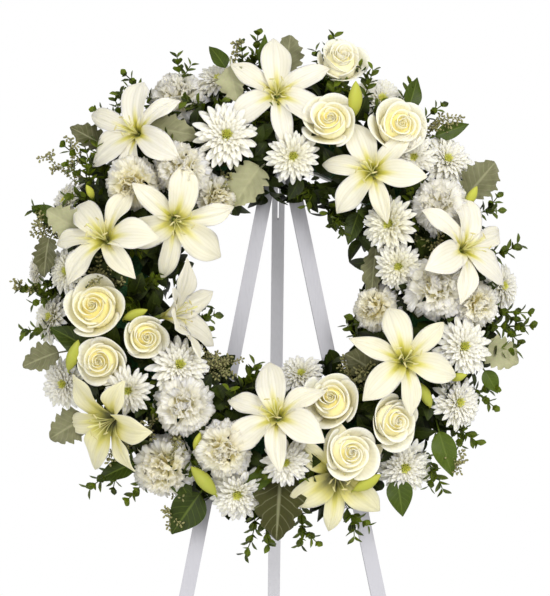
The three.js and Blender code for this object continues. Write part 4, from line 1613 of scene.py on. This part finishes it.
@dataclass
class FlowerShop:
    """Builds every flower and sets it in place of its CAD node."""

    ring: RingFrame
    finish: Palette
    mum: MumHead

    def plant_all(self) -> None:
        """Build the flowers, node by node."""
        nodes: dict[str, list[Bloom]] = {}
        for bloom in LILIES + ROSES + MUMS + CARNATIONS:
            nodes.setdefault(bloom.node, []).append(bloom)
        for number, (node, blooms) in enumerate(nodes.items()):
            obj = self.plant(node, blooms, np.random.default_rng(1000 + number))
            LOG.info("%s: %d head(s), %d faces", node, len(blooms), len(obj.data.polygons))
        bpy.data.objects.remove(self.mum.ray, do_unlink=True)
        bpy.data.objects.remove(self.mum.floret, do_unlink=True)

    def plant(self, node: str, blooms: list[Bloom], rng: Rng) -> Object:
        """Build the heads of one node with their stems.

        Args:
            node: the CAD node.
            blooms: its heads.
            rng: random source.

        Returns:
            The finished piece.
        """
        parts = MeshParts()
        f = self.finish
        # Each kind's maker, how far behind the head its stem joins it in mm and in half spans, a slot name,
        # and its finishes.
        head, gap, share, slot, materials = {
            Kind.LILY: (LilyHead(), 6, 0, "lily_petal", [f.lily, f.filament, f.anther, f.stem]),
            Kind.ROSE: (RoseHead(), 0, 0.95, "rose_petal", [f.rose, f.stem]),
            Kind.MUM: (self.mum, 0, 0.32, "chrysanthemum_petal", [f.mum, f.disc, f.stem]),
            Kind.CARNATION: (CarnationHead(), 0, 0.9, "carnation_petal", [f.carnation, f.stem]),
        }[blooms[0].kind]
        for bloom in blooms:
            start = len(parts.points)
            matrix = self.ring.head_matrix(bloom)
            head.build(parts, bloom, rng)
            parts.place(start, matrix)
            path = self.ring.stem(bloom, matrix, (gap + share * bloom.span / 2) * MM)
            tube(parts, path, np.full(len(path), 2.0 * MM), 7, 0.4, 0.0, len(materials) - 1)
        obj = parts.object(f"{node}_flower", materials)
        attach(obj, WREATH_BODY)
        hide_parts(node)
        return obj


# --- greenery
class Leafage(Enum):
    """The large leaves, by species."""

    SALAL = "salal"
    MILLER = "miller"


@dataclass(frozen=True)
class BigLeaf:
    """One large leaf.

    Attributes:
        species: which plant it is from.
        clock: degrees clockwise from the top, of its middle.
        reach: mm from the centre, of its middle.
        depth: mm towards the front.
        long: mm along it.
        wide: mm across it.
        point: clock direction of its tip.
        lean: degrees that its tip comes forward.
        roll: degrees that it turns about its midrib.
        shade: 0 dark, 1 light.
    """

    species: Leafage
    clock: float
    reach: float
    depth: float
    long: float
    wide: float
    point: float
    lean: float = 0
    roll: float = 0
    shade: float = 0.5


# The other fields of BigLeaf, species by species.
BIG_LEAVES = {
    Leafage.MILLER: [
        (309, 337, 58, 54, 34, 300, 10, 10, 0.1), (348, 285, 92, 52, 40, 170, 10, 20, 0.9),
        (326, 255, 96, 66, 40, 100, 8, 0, 0.6), (343, 143, 84, 66, 52, 215, 12, 10, 0.8),
        (287, 306, 84, 52, 42, 300, 10, -10, 0.9), (277, 318, 80, 54, 34, 190, 10, 20, 0.1),
        (253, 338, 62, 52, 38, 250, 4, 10, 0.3), (236, 345, 58, 56, 46, 240, 0, 0, 0.35),
        (180, 300, 78, 92, 66, 184, 12, 0, -0.35), (3, 330, 64, 54, 42, 8, 6, 0, 0.4),
        (62, 322, 70, 62, 50, 40, 4, 0, 0.3), (107, 322, 66, 52, 44, 115, 4, 0, 0.9),
        (82, 134, 72, 78, 30, 190, 20, 25, 0.2), (133, 160, 82, 58, 46, 300, 14, 0, 0.1),
    ],
    Leafage.SALAL: [
        (288, 336, 60, 44, 28, 300, 0, 0, 0.6), (346, 335, 62, 40, 28, 330, 0, 20, 0.5),
        (357, 332, 70, 50, 22, 12, 0, 30, 0.9), (35, 334, 62, 50, 30, 20, 0, 20, 0.5),
        (48, 330, 66, 52, 26, 70, 0, 10, 0.6), (150, 333, 58, 52, 40, 172, 4, 0, 0.6),
        (135, 325, 60, 64, 38, 165, 4, 10, 1.0), (202, 334, 62, 66, 54, 215, 2, 0, 0.2),
        (221, 333, 58, 60, 36, 250, 0, 20, 0.2), (206, 300, 70, 56, 34, 150, 0, 0, 0.3),
        (255, 288, 80, 70, 44, 300, 10, 10, 0.3), (296, 214, 76, 66, 32, 30, 20, 0, 0.8),
        (185, 265, 86, 60, 28, 60, 10, 0, 0.9), (114, 322, 60, 36, 26, 150, 0, 0, 0.9),
        (52, 135, 60, 48, 30, 200, 10, 10, 0.2), (250, 150, 64, 50, 30, 60, 10, 20, 0.6),
    ],
}

# Myrtle sprigs: clock, mm reach of the root, clock and mm reach of the tip, mm depth of the tip.
MYRTLE = [
    (327, 285, 325, 362, 66), (322, 290, 321, 345, 74), (335, 285, 337, 352, 60), (318, 285, 315, 352, 62),
    (305, 275, 304, 352, 60), (298, 262, 300, 330, 84), (303, 280, 309, 318, 84), (296, 270, 293, 312, 80),
    (352, 290, 356, 356, 62), (349, 285, 352, 346, 60), (14, 285, 13, 362, 64), (25, 285, 24, 328, 92),
    (36, 290, 33, 344, 56), (41, 285, 42, 344, 62), (68, 280, 71, 322, 76), (80, 285, 80, 338, 66),
    (96, 290, 96, 346, 70), (100, 285, 99, 350, 72), (104, 285, 105, 338, 72), (118, 285, 119, 338, 60),
    (128, 285, 128, 344, 58), (140, 290, 141, 356, 60), (163, 300, 163, 356, 50), (174, 300, 175, 352, 50),
    (186, 300, 187, 366, 50), (184, 300, 182, 350, 50), (222, 290, 223, 374, 52), (216, 290, 215, 352, 56),
    (259, 290, 260, 350, 58), (268, 285, 270, 350, 60), (276, 280, 270, 340, 64), (290, 280, 288, 350, 60),
    (120, 170, 118, 110, 50), (116, 165, 112, 116, 56), (20, 165, 20, 122, 60), (42, 165, 42, 120, 62),
    (38, 165, 34, 128, 56), (248, 160, 246, 96, 62), (252, 160, 256, 104, 60), (233, 168, 236, 112, 70),
    (200, 165, 196, 112, 66), (205, 200, 204, 160, 92), (186, 238, 184, 262, 96), (169, 236, 172, 266, 96),
    (353, 210, 354, 244, 98), (350, 215, 0, 240, 96), (264, 190, 260, 212, 92), (272, 190, 270, 170, 90),
    (286, 215, 284, 190, 92), (290, 205, 296, 180, 86), (7, 205, 4, 232, 92), (18, 262, 16, 286, 92),
    (27, 262, 30, 288, 94), (60, 190, 66, 204, 92), (60, 210, 54, 224, 92), (338, 255, 334, 282, 96),
    (336, 245, 343, 262, 96), (330, 240, 324, 238, 96), (150, 205, 146, 186, 90), (208, 260, 204, 278, 92),
    (226, 215, 224, 236, 94), (172, 215, 168, 232, 92), (313, 230, 310, 205, 86), (238, 215, 232, 224, 92),
]
# Seeded eucalyptus: the same, with the mm spread of its branchlets.
EUCALYPTUS = [
    (270, 205, 273, 238, 100, 26), (335, 185, 331, 152, 90, 18), (283, 290, 285, 342, 70, 18),
    (298, 300, 300, 366, 62, 12), (268, 300, 270, 358, 60, 10), (222, 165, 214, 126, 78, 26),
    (224, 175, 226, 134, 74, 20), (223, 240, 223, 276, 98, 16), (222, 285, 224, 316, 82, 16),
    (204, 300, 205, 346, 60, 22), (147, 185, 140, 150, 84, 26), (137, 190, 134, 164, 80, 18),
    (76, 185, 76, 226, 98, 22), (45, 285, 45, 336, 74, 20), (350, 300, 351, 346, 62, 8),
    (134, 300, 135, 344, 64, 16), (294, 300, 306, 350, 64, 10), (218, 240, 212, 262, 92, 16),
    (96, 185, 88, 200, 86, 16), (196, 215, 192, 232, 88, 16),
]
# Lily buds: clock, reach, depth, length, clock they point to, degrees forward, shade.
BUDS = [
    (23, 271, 112, 50, 2, 30, 0.75), (257, 201, 112, 36, 72, 20, 0.6), (250, 296, 96, 44, 20, 20, 0.3),
    (128, 252, 104, 40, 330, 25, 0.55), (200, 288, 96, 50, 318, 12, 0.2), (157, 296, 100, 42, 60, 15, 0.8),
    (66, 289, 100, 34, 30, 30, 0.9), (118, 274, 100, 28, 80, 40, 0.7), (296, 284, 100, 26, 330, 50, 0.9),
    (307, 176, 118, 34, 355, 20, 0.9), (207, 243, 106, 26, 20, 30, 0.9), (186, 205, 118, 24, 320, 40, 0.9),
]


@dataclass
class Greenery:
    """The foliage: big leaves, sprigs, seed clusters, buds, and the small leaves that fill between."""

    ring: RingFrame
    finish: Palette
    sprigs: NodeTool
    scatter: NodeTool

    def add_big_leaf(self, parts: MeshParts, leaf: BigLeaf, rng: Rng) -> None:
        """Add one large leaf in place.

        Args:
            parts: what it is added to.
            leaf: the leaf.
            rng: random source.
        """
        long, wide = leaf.long * MM, leaf.wide * MM
        wave = rng.uniform(0, 6.28)
        lobed = leaf.species is Leafage.MILLER
        sag = rng.uniform(0.10, 0.22)

        def surface(u: Array, v: Array) -> Array:
            """Lay the leaf out along Y, its face to Z."""
            if lobed:
                half = np.maximum(np.sin(math.pi * np.clip(u, 0, 1) ** 0.75) ** 0.6, 0.06)
                lobes = 0.13 * np.sin(u * 31 + wave) + 0.05 * np.sin(u * 67 + wave)
                half = half * (1 + lobes * np.abs(v) ** 3)
            else:
                half = np.sin(math.pi * np.clip(u, 0, 1) ** 0.8) ** 0.85
                half = np.maximum(half * (1 - 0.25 * u), 0.04)
            side = v * half * wide / 2
            fold = (0.34 if lobed else 0.22) * np.abs(v) * half * wide / 2
            ripple = (0.09 if lobed else 0.03) * wide * np.sin(u * 11 + wave + 2 * v) * np.abs(v) ** 2
            # Side veins are sunk and the skin swells between them.
            swell = (0.020 if lobed else 0.006) * wide * np.sin(math.pi * u)
            quilt = swell * np.sin((u - 0.4 * np.abs(v)) * 34)
            droop = sag * long * (0.3 - u**2)
            return np.stack([side, (u - 0.5) * long, fold + ripple + quilt + droop], axis=2)

        start = len(parts.points)
        cells = (36, 14) if lobed else (24, 8)
        shell(parts, surface, cells[0], cells[1], 0.7 * MM, leaf.shade, 0.5)
        # A short stalk carries the blade back into the bed.
        back = np.linspace(-0.5, -0.85, 5)
        stalk = np.stack([0 * back, back, np.linspace(0.0, -0.18, 5)], axis=1) * long
        tube(parts, stalk, np.linspace(1.1, 1.4, 5) * MM, 5, leaf.shade, 0.5)
        place = self.ring.leaf_matrix(leaf.clock, leaf.reach, leaf.depth, leaf.point, leaf.lean)
        parts.place(start, place @ Matrix.Rotation(math.radians(leaf.roll), 4, "Y"))

    def backing(self) -> None:
        """Build the collar of dark leaves behind the flowers, which closes the gaps between them with the
        near-black leaf finish of painted shade.
        """
        parts = MeshParts()
        rng = np.random.default_rng(49)
        for reach, count, point_in in ((272, 44, False), (244, 40, False), (172, 26, True)):
            for k in range(count):
                clock = 360 * (k + rng.uniform(-0.3, 0.3)) / count
                heading = clock + (180 if point_in else 0) + rng.uniform(-50, 50)
                leaf = BigLeaf(Leafage.SALAL, clock, reach + rng.uniform(-8, 8), rng.uniform(30, 52),
                               rng.uniform(48, 60), rng.uniform(30, 38), heading, rng.uniform(-5, 25),
                               rng.uniform(-25, 25), rng.uniform(0, 0.6))
                self.add_big_leaf(parts, leaf, rng)
        self.settle(parts.object("backing_leaves", [self.finish.bed_painted_shade]))

    def big_leaves(self) -> None:
        """Build the large leaves, one piece for each species."""
        finishes = {Leafage.SALAL: self.finish.salal, Leafage.MILLER: self.finish.miller}
        for number, species in enumerate(Leafage):
            parts = MeshParts()
            rng = np.random.default_rng(50 + number)
            for row in BIG_LEAVES[species]:
                self.add_big_leaf(parts, BigLeaf(species, *row), rng)
            self.settle(parts.object(f"{species.value}_leaves", [finishes[species]]))

    def settle(self, obj: Object) -> None:
        """Let a piece of foliage ride on the wreath.

        Args:
            obj: the piece.
        """
        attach(obj, WREATH_BODY)
        LOG.info("%s: %d faces", obj.name, len(obj.data.polygons))

    def bow(self, start: Vector, end: Vector, bend: Vector, count: int) -> Array:
        """A bowed line between two points.

        Args:
            start: its root.
            end: its tip.
            bend: how far its middle is pushed aside.
            count: number of points.

        Returns:
            The points.
        """
        t = np.linspace(0, 1, count)[:, None]
        return (1 - t) * np.array(start) + t * np.array(end) + 4 * t * (1 - t) * np.array(bend)

    def leaf_pair(self) -> Object:
        """Make two small pointed leaves that stand opposite each other on a stem along Z.

        Returns:
            The pair.
        """
        parts = MeshParts()
        for sign in (-1, 1):

            def blade(u: Array, v: Array) -> Array:
                """A lance-shaped blade, folded a little along its midrib."""
                half = 0.0062 * np.maximum(np.sin(math.pi * np.clip(u, 0, 1) ** 0.8), 0.07)
                reach = 0.0190 * u
                out = 0.0006 + reach * 0.80 - 0.0016 * u**2
                up = reach * 0.58 + 0.4 * np.abs(v) * half
                return np.stack([sign * v * half, sign * out, up], axis=2)

            shell(parts, blade, 4, 2, 0.45 * MM, 0.5, 0.5)
        return parts.object("myrtle_pair_unit", [])

    def seed_knot(self) -> Object:
        """Make a knot of three seeds round a stem along Z.

        Returns:
            The knot.
        """
        parts = MeshParts()
        for k in range(3):
            angle = math.tau * k / 3
            out = np.array([math.cos(angle), math.sin(angle), 0.55]) * 0.0038
            path = np.array([0.3, 0.75, 1.25, 1.6])[:, None] * out
            tube(parts, path, np.array([0.5, 1.5, 1.7, 0.7]) * MM, 5, k / 3, 0.5)
        return parts.object("seed_knot_unit", [])

    def grow(self, name: str, unit: Object, lines: list[Array], grows: list[Array],
             spacing: float, radius: float, turn: float, material: Material, seed: int) -> None:
        """Run the sprig tool over stem lines and settle the result.

        Args:
            name: the piece's name.
            unit: the repeated leaf pair or seed knot.
            lines: stem lines.
            grows: leaf sizes along them.
            spacing: metres between leaves.
            radius: the stem's radius, metres.
            turn: how far each pair is turned from the last, radians.
            material: the finish.
            seed: random seed.
        """
        carrier = lines_object(f"{name}_lines", lines, grows)
        mesh = self.sprigs.run(carrier, {
            "Leaf": unit, "Spacing": spacing, "Stem Radius": radius, "Pair Turn": turn, "Seed": seed,
            "Material": material})
        bpy.data.objects.remove(unit, do_unlink=True)
        self.colour_islands(mesh, seed)
        self.settle(link(name, mesh))

    def colour_islands(self, mesh: Mesh, seed: int) -> None:
        """Give patches of neighbouring leaves their own share of dark and light.

        Args:
            mesh: the foliage mesh.
            seed: random seed.
        """
        rng = np.random.default_rng(seed)
        points, guide = read_mesh(mesh)
        waves = rng.uniform(40, 220, (3, 3))
        shade = 0.5 + 0.33 * sum(np.sin(points @ wave + rng.uniform(0, 6)) for wave in waves) / 1.5
        guide[:, 2] = np.clip(shade, 0, 1)
        mesh.attributes["guide"].data.foreach_set("color", guide.ravel())
        mesh.polygons.foreach_set("use_smooth", np.ones(len(mesh.polygons), bool))
        mesh.set_sharp_from_angle(angle=RIM_ANGLE)

    def myrtle(self) -> None:
        """Build the small-leaved sprigs."""
        rng = np.random.default_rng(7)
        lines, grows = [], []
        for clock, reach, tip_clock, tip_reach, depth in MYRTLE:
            root = self.ring.point(clock, reach * MM, (depth - 26) * MM)
            tip = self.ring.point(tip_clock, tip_reach * MM, depth * MM)
            bend = Vector(rng.uniform(-0.006, 0.006, 3))
            lines.append(self.bow(root, tip, bend, 9))
            grows.append(np.linspace(1.1, 0.8, 9) * rng.uniform(0.9, 1.2))
            # A side shoot leaves most sprigs half way up.
            if rng.uniform() < 0.6:
                middle = Vector(lines[-1][4])
                away = (tip - root).normalized().cross(self.ring.front).normalized() * rng.choice((-1, 1))
                end = middle + ((tip - root).normalized() * 0.8 + away * 0.7) * 0.026
                lines.append(self.bow(middle, end, bend * 0.3, 6))
                grows.append(np.linspace(0.95, 0.75, 6))
        self.grow("myrtle_sprigs", self.leaf_pair(), lines, grows, 0.0092, 0.0008, math.pi / 2,
                  self.finish.myrtle, 21)

    def eucalyptus(self) -> None:
        """Build the seeded sprays: a stem with thin branchlets, each strung with seeds."""
        rng = np.random.default_rng(8)
        lines, grows = [], []
        for clock, reach, tip_clock, tip_reach, depth, spread in EUCALYPTUS:
            root = self.ring.point(clock, reach * MM, (depth - 24) * MM)
            tip = self.ring.point(tip_clock, tip_reach * MM, depth * MM)
            stem = self.bow(root, tip, Vector(rng.uniform(-0.004, 0.004, 3)), 9)
            lines.append(stem)
            grows.append(np.linspace(0.2, 0.9, 9))
            heading = (tip - root).normalized()
            for number in range(int(5 + spread / 3)):
                middle = Vector(stem[int(rng.integers(2, 9))])
                aside = Vector(rng.normal(size=3))
                aside = (aside - heading * aside.dot(heading)).normalized()
                reach_out = rng.uniform(0.5, 1.0) * spread * MM
                end = middle + aside * reach_out + heading * reach_out * 0.6
                lines.append(self.bow(middle, end, Vector(rng.uniform(-0.002, 0.002, 3)), 5))
                grows.append(np.linspace(0.6, 1.0, 5) * rng.uniform(0.8, 1.1))
        self.grow("eucalyptus_sprays", self.seed_knot(), lines, grows, 0.0050, 0.0005, GOLDEN_ANGLE,
                  self.finish.seed, 22)

    def buds(self) -> None:
        """Build the closed lily buds: long spindles with three soft ridges."""
        parts = MeshParts()
        for clock, reach, depth, long, point, lean, shade in BUDS:
            start = len(parts.points)
            u = np.linspace(0, 1, 13)
            radius = 0.20 * long * MM * np.sin(math.pi * np.clip(u * 0.93 + 0.06, 0, 1)) ** 0.8
            path = np.stack([np.zeros(13), (u - 0.4) * long * MM, 0.04 * long * MM * np.sin(u * 3)], axis=1)
            tube(parts, path, radius, 12, shade, 0.5)
            ridged = parts.points[-1]
            turn = np.arctan2(ridged[:, 2], ridged[:, 0])
            ridged[:, [0, 2]] *= (1 + 0.10 * np.cos(3 * turn))[:, None]
            back = np.linspace(0, 1, 5)
            stalk = np.stack([0 * back, -0.38 - 0.35 * back, -0.9 * back**1.5], axis=1) * long * MM
            tube(parts, stalk, np.full(5, 1.4 * MM), 6, 0.2, 0.5)
            parts.place(start, self.ring.leaf_matrix(clock, reach, depth, point, lean))
        self.settle(parts.object("lily_buds", [self.finish.bud]))

    def bed_surface(self, name: str, bulge: float) -> Object:
        """A half-tube round the foam, from the back of one side to the back of the other.

        Args:
            name: its name.
            bulge: how far it stands off the foam's middle circle, metres.

        Returns:
            The carrier object.
        """
        sections = 96
        angles = np.radians(np.linspace(-25, 205, 16))
        points, faces = [], []
        for i in range(sections):
            clock = 360 * i / sections
            for angle in angles:
                reach = self.ring.core_radius + math.cos(angle) * (bulge + 0.012)
                points.append(self.ring.point(clock, reach, self.ring.core_depth + math.sin(angle) * bulge))
        for i in range(sections):
            for j in range(len(angles) - 1):
                a = i * len(angles) + j
                b = ((i + 1) % sections) * len(angles) + j
                faces.append((a, a + 1, b + 1, b))
        mesh = bpy.data.meshes.new(name)
        mesh.from_pydata([tuple(p) for p in points], [], faces)
        return link(name, mesh)

    def filler(self) -> None:
        """Strew small dark leaves in two layers, so that no foam shows; they take the near-black leaf
        finish of painted shade.
        """
        layers = [("bed_leaves", 0.052, 2300.0, 0.9, 31), ("bed_leaves_outer", 0.066, 1500.0, 1.1, 32)]
        for name, bulge, density, lean, seed in layers:
            parts = MeshParts()

            def blade(u: Array, v: Array) -> Array:
                """A broad oval leaf that lies along Y."""
                half = 0.0105 * np.maximum(np.sin(math.pi * np.clip(u, 0, 1) ** 0.8) ** 0.8, 0.06)
                lift = 0.25 * np.abs(v) * half + 0.003 * np.sin(3 * u)
                return np.stack([v * half, 0.034 * (u - 0.15), lift], axis=2)

            shell(parts, blade, 6, 4, 0.5 * MM, 0.5, 0.5)
            unit = parts.object(f"{name}_unit", [])
            carrier = self.bed_surface(f"{name}_carrier", bulge)
            mesh = self.scatter.run(carrier, {"Leaf": unit, "Density": density, "Lean": lean, "Seed": seed,
                                              "Material": self.finish.bed_painted_shade})
            bpy.data.objects.remove(unit, do_unlink=True)
            self.colour_islands(mesh, seed)
            obj = link(name, mesh)
            self.settle(obj)
            if name == "bed_leaves":
                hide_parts("leaf_bed")

    def build(self) -> None:
        """Build all the foliage."""
        self.filler()
        self.backing()
        self.big_leaves()
        self.myrtle()
        self.eucalyptus()
        self.buds()


# --- the easel and the ring's core
@dataclass
class Easel:
    """The carried-over CAD pieces, each dressed in its real finish."""

    nodes: dict[str, Object]

    def dress(self) -> None:
        """Assign a finish to every CAD node that stays."""
        pine = PaintedPineFinish("pine_thin_white_paint").material()
        # The rear leg gets a whiter copy of the paint with fainter grain: painted light, which brightens it
        # against the wreath's shadow on its top and its tilt away from the key.
        rear = PaintedPineFinish("pine_white_paint_painted_light", paint="#e2e1e6", grain="#dcdbe0").material()
        # Zinc-plated hinge steel: a fine dull spangle.
        zinc = GrainFinish("steel_zinc_plated", "#9b9c9a", "#b9bab6", 3, 0.05, 0.38, 1.0, 0.1).material()
        # Enamelled florist's wire: dark green, slightly glossy.
        enamel = GrainFinish("wire_green_enamel", "#16301a", "#20422a", 4, 0.05, 0.35, 0.0, 0.1).material()
        # Wet floral foam: fine open cells, drawn coarse enough to show.
        foam = GrainFinish("floral_foam_wet", "#1f4426", "#35693c", 2.2, 0.8, 0.92, 0.0, 0.9).material()
        # Moulded polystyrene tray: smooth with a faint orange peel.
        tray = GrainFinish(
            "tray_moulded_polystyrene", "#d6d8d3", "#e2e3de", 6, 0.1, 0.45, 0.0, 0.15).material()
        choice = {
            "binding_wire": enamel, "hinge": zinc, "foam_ring": foam, "ring_tray": tray, "rear_leg": rear,
            "front_leg": pine, "head_block": pine, "stop_block": pine,
        }
        for name, node in self.nodes.items():
            for start, finish in choice.items():
                if name.startswith(start):
                    node.data.materials.clear()
                    node.data.materials.append(finish)
                    LOG.info("%s: %s", name, finish.name)


# --- floor, light and camera
@dataclass
class Studio:
    """A white studio: pale floor, one big soft key, a weaker fill and a white surround."""

    ring: RingFrame
    distance: float = 3.0
    azimuth: float = -2.1
    frame_height: float = 0.810
    surround: float = 0.60
    key_power: float = 42.0
    fill_power: float = 19.0

    def camera(self) -> None:
        """Set the camera level, at the height of the wreath's middle."""
        # The wreath's flowers are about this far in front of the ring's back plane.
        face = self.ring.centre + self.ring.front * 0.10
        aim = face + Vector((-0.004, 0, -0.020))
        turn = math.radians(self.azimuth)
        place = aim + Vector((math.sin(turn), -math.cos(turn), 0)) * self.distance
        data = bpy.data.cameras.new("camera")
        data.sensor_fit = "VERTICAL"
        data.sensor_height = 36
        data.lens = 36 * self.distance / self.frame_height
        data.clip_end = 60
        obj = link("camera", data)
        obj.location = place
        obj.rotation_euler = (aim - place).to_track_quat("-Z", "Y").to_euler()
        bpy.context.scene.camera = obj

    def light(self, name: str, place: Vector, power: float, size: float) -> None:
        """Add one square softbox aimed at the wreath.

        Args:
            name: its name.
            place: where it is.
            power: watts.
            size: metres along a side.
        """
        data = bpy.data.lights.new(name, "AREA")
        data.energy = power
        data.size = size
        obj = link(name, data)
        obj.location = place
        obj.rotation_euler = (self.ring.centre - place).to_track_quat("-Z", "Y").to_euler()

    def lights(self) -> None:
        """Set the surround and the softboxes."""
        world = bpy.data.worlds.new("studio")
        world.use_nodes = True
        tree = world.node_tree
        tree.nodes.clear()
        # The backdrop itself reads pure white; it lights the flowers less, so that they keep their shading.
        seen = add_node(tree, "ShaderNodeLightPath")
        level = add_node(tree, "ShaderNodeMapRange", {3: self.surround, 4: 1.0},
                         {0: seen.outputs["Is Camera Ray"]})
        glow = add_node(tree, "ShaderNodeBackground", {"Color": (1, 1, 1, 1)}, {"Strength": level})
        add_node(tree, "ShaderNodeOutputWorld", links={"Surface": glow})
        bpy.context.scene.world = world
        self.light("key", self.ring.centre + Vector((1.0, -2.3, 1.1)), self.key_power, 1.2)
        self.light("fill", self.ring.centre + Vector((-1.2, -2.5, 0.1)), self.fill_power, 1.6)

    def floor(self) -> None:
        """Lay a round pale floor under the easel."""
        turn = np.linspace(0, math.tau, 64, endpoint=False)
        ring = np.stack([np.cos(turn) * 2.6, np.sin(turn) * 2.6, np.full(64, -0.0005)], axis=1)
        mesh = bpy.data.meshes.new("floor")
        mesh.from_pydata(ring.tolist(), [], [list(range(64))])
        obj = link("floor", mesh)
        # Painted studio floor: matt white with a faint roller texture.
        paint = GrainFinish("floor_matt_white_paint", "#efefee", "#f3f3f2", 30, 0.1, 0.85, 0.0, 0.1)
        mesh.materials.append(paint.material())

    def view_transform(self) -> None:
        """Use the plain view transform, so that whites stay white."""
        bpy.context.scene.view_settings.view_transform = "Standard"
        bpy.context.scene.view_settings.look = "None"


def main() -> None:
    """Build the whole scene in order."""
    logging.basicConfig(level=logging.INFO, format="%(name)s %(message)s")
    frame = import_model()
    ring = RingFrame.from_cad()
    studio = Studio(ring)
    studio.camera()
    studio.lights()
    studio.floor()
    studio.view_transform()
    Easel(frame["nodes"]).dress()
    finish = Palette()
    FlowerShop(ring, finish, MumHead(whorl_tool(), finish)).plant_all()
    Greenery(ring, finish, sprig_tool(), scatter_tool()).build()


if __name__ == "__main__":
    main()
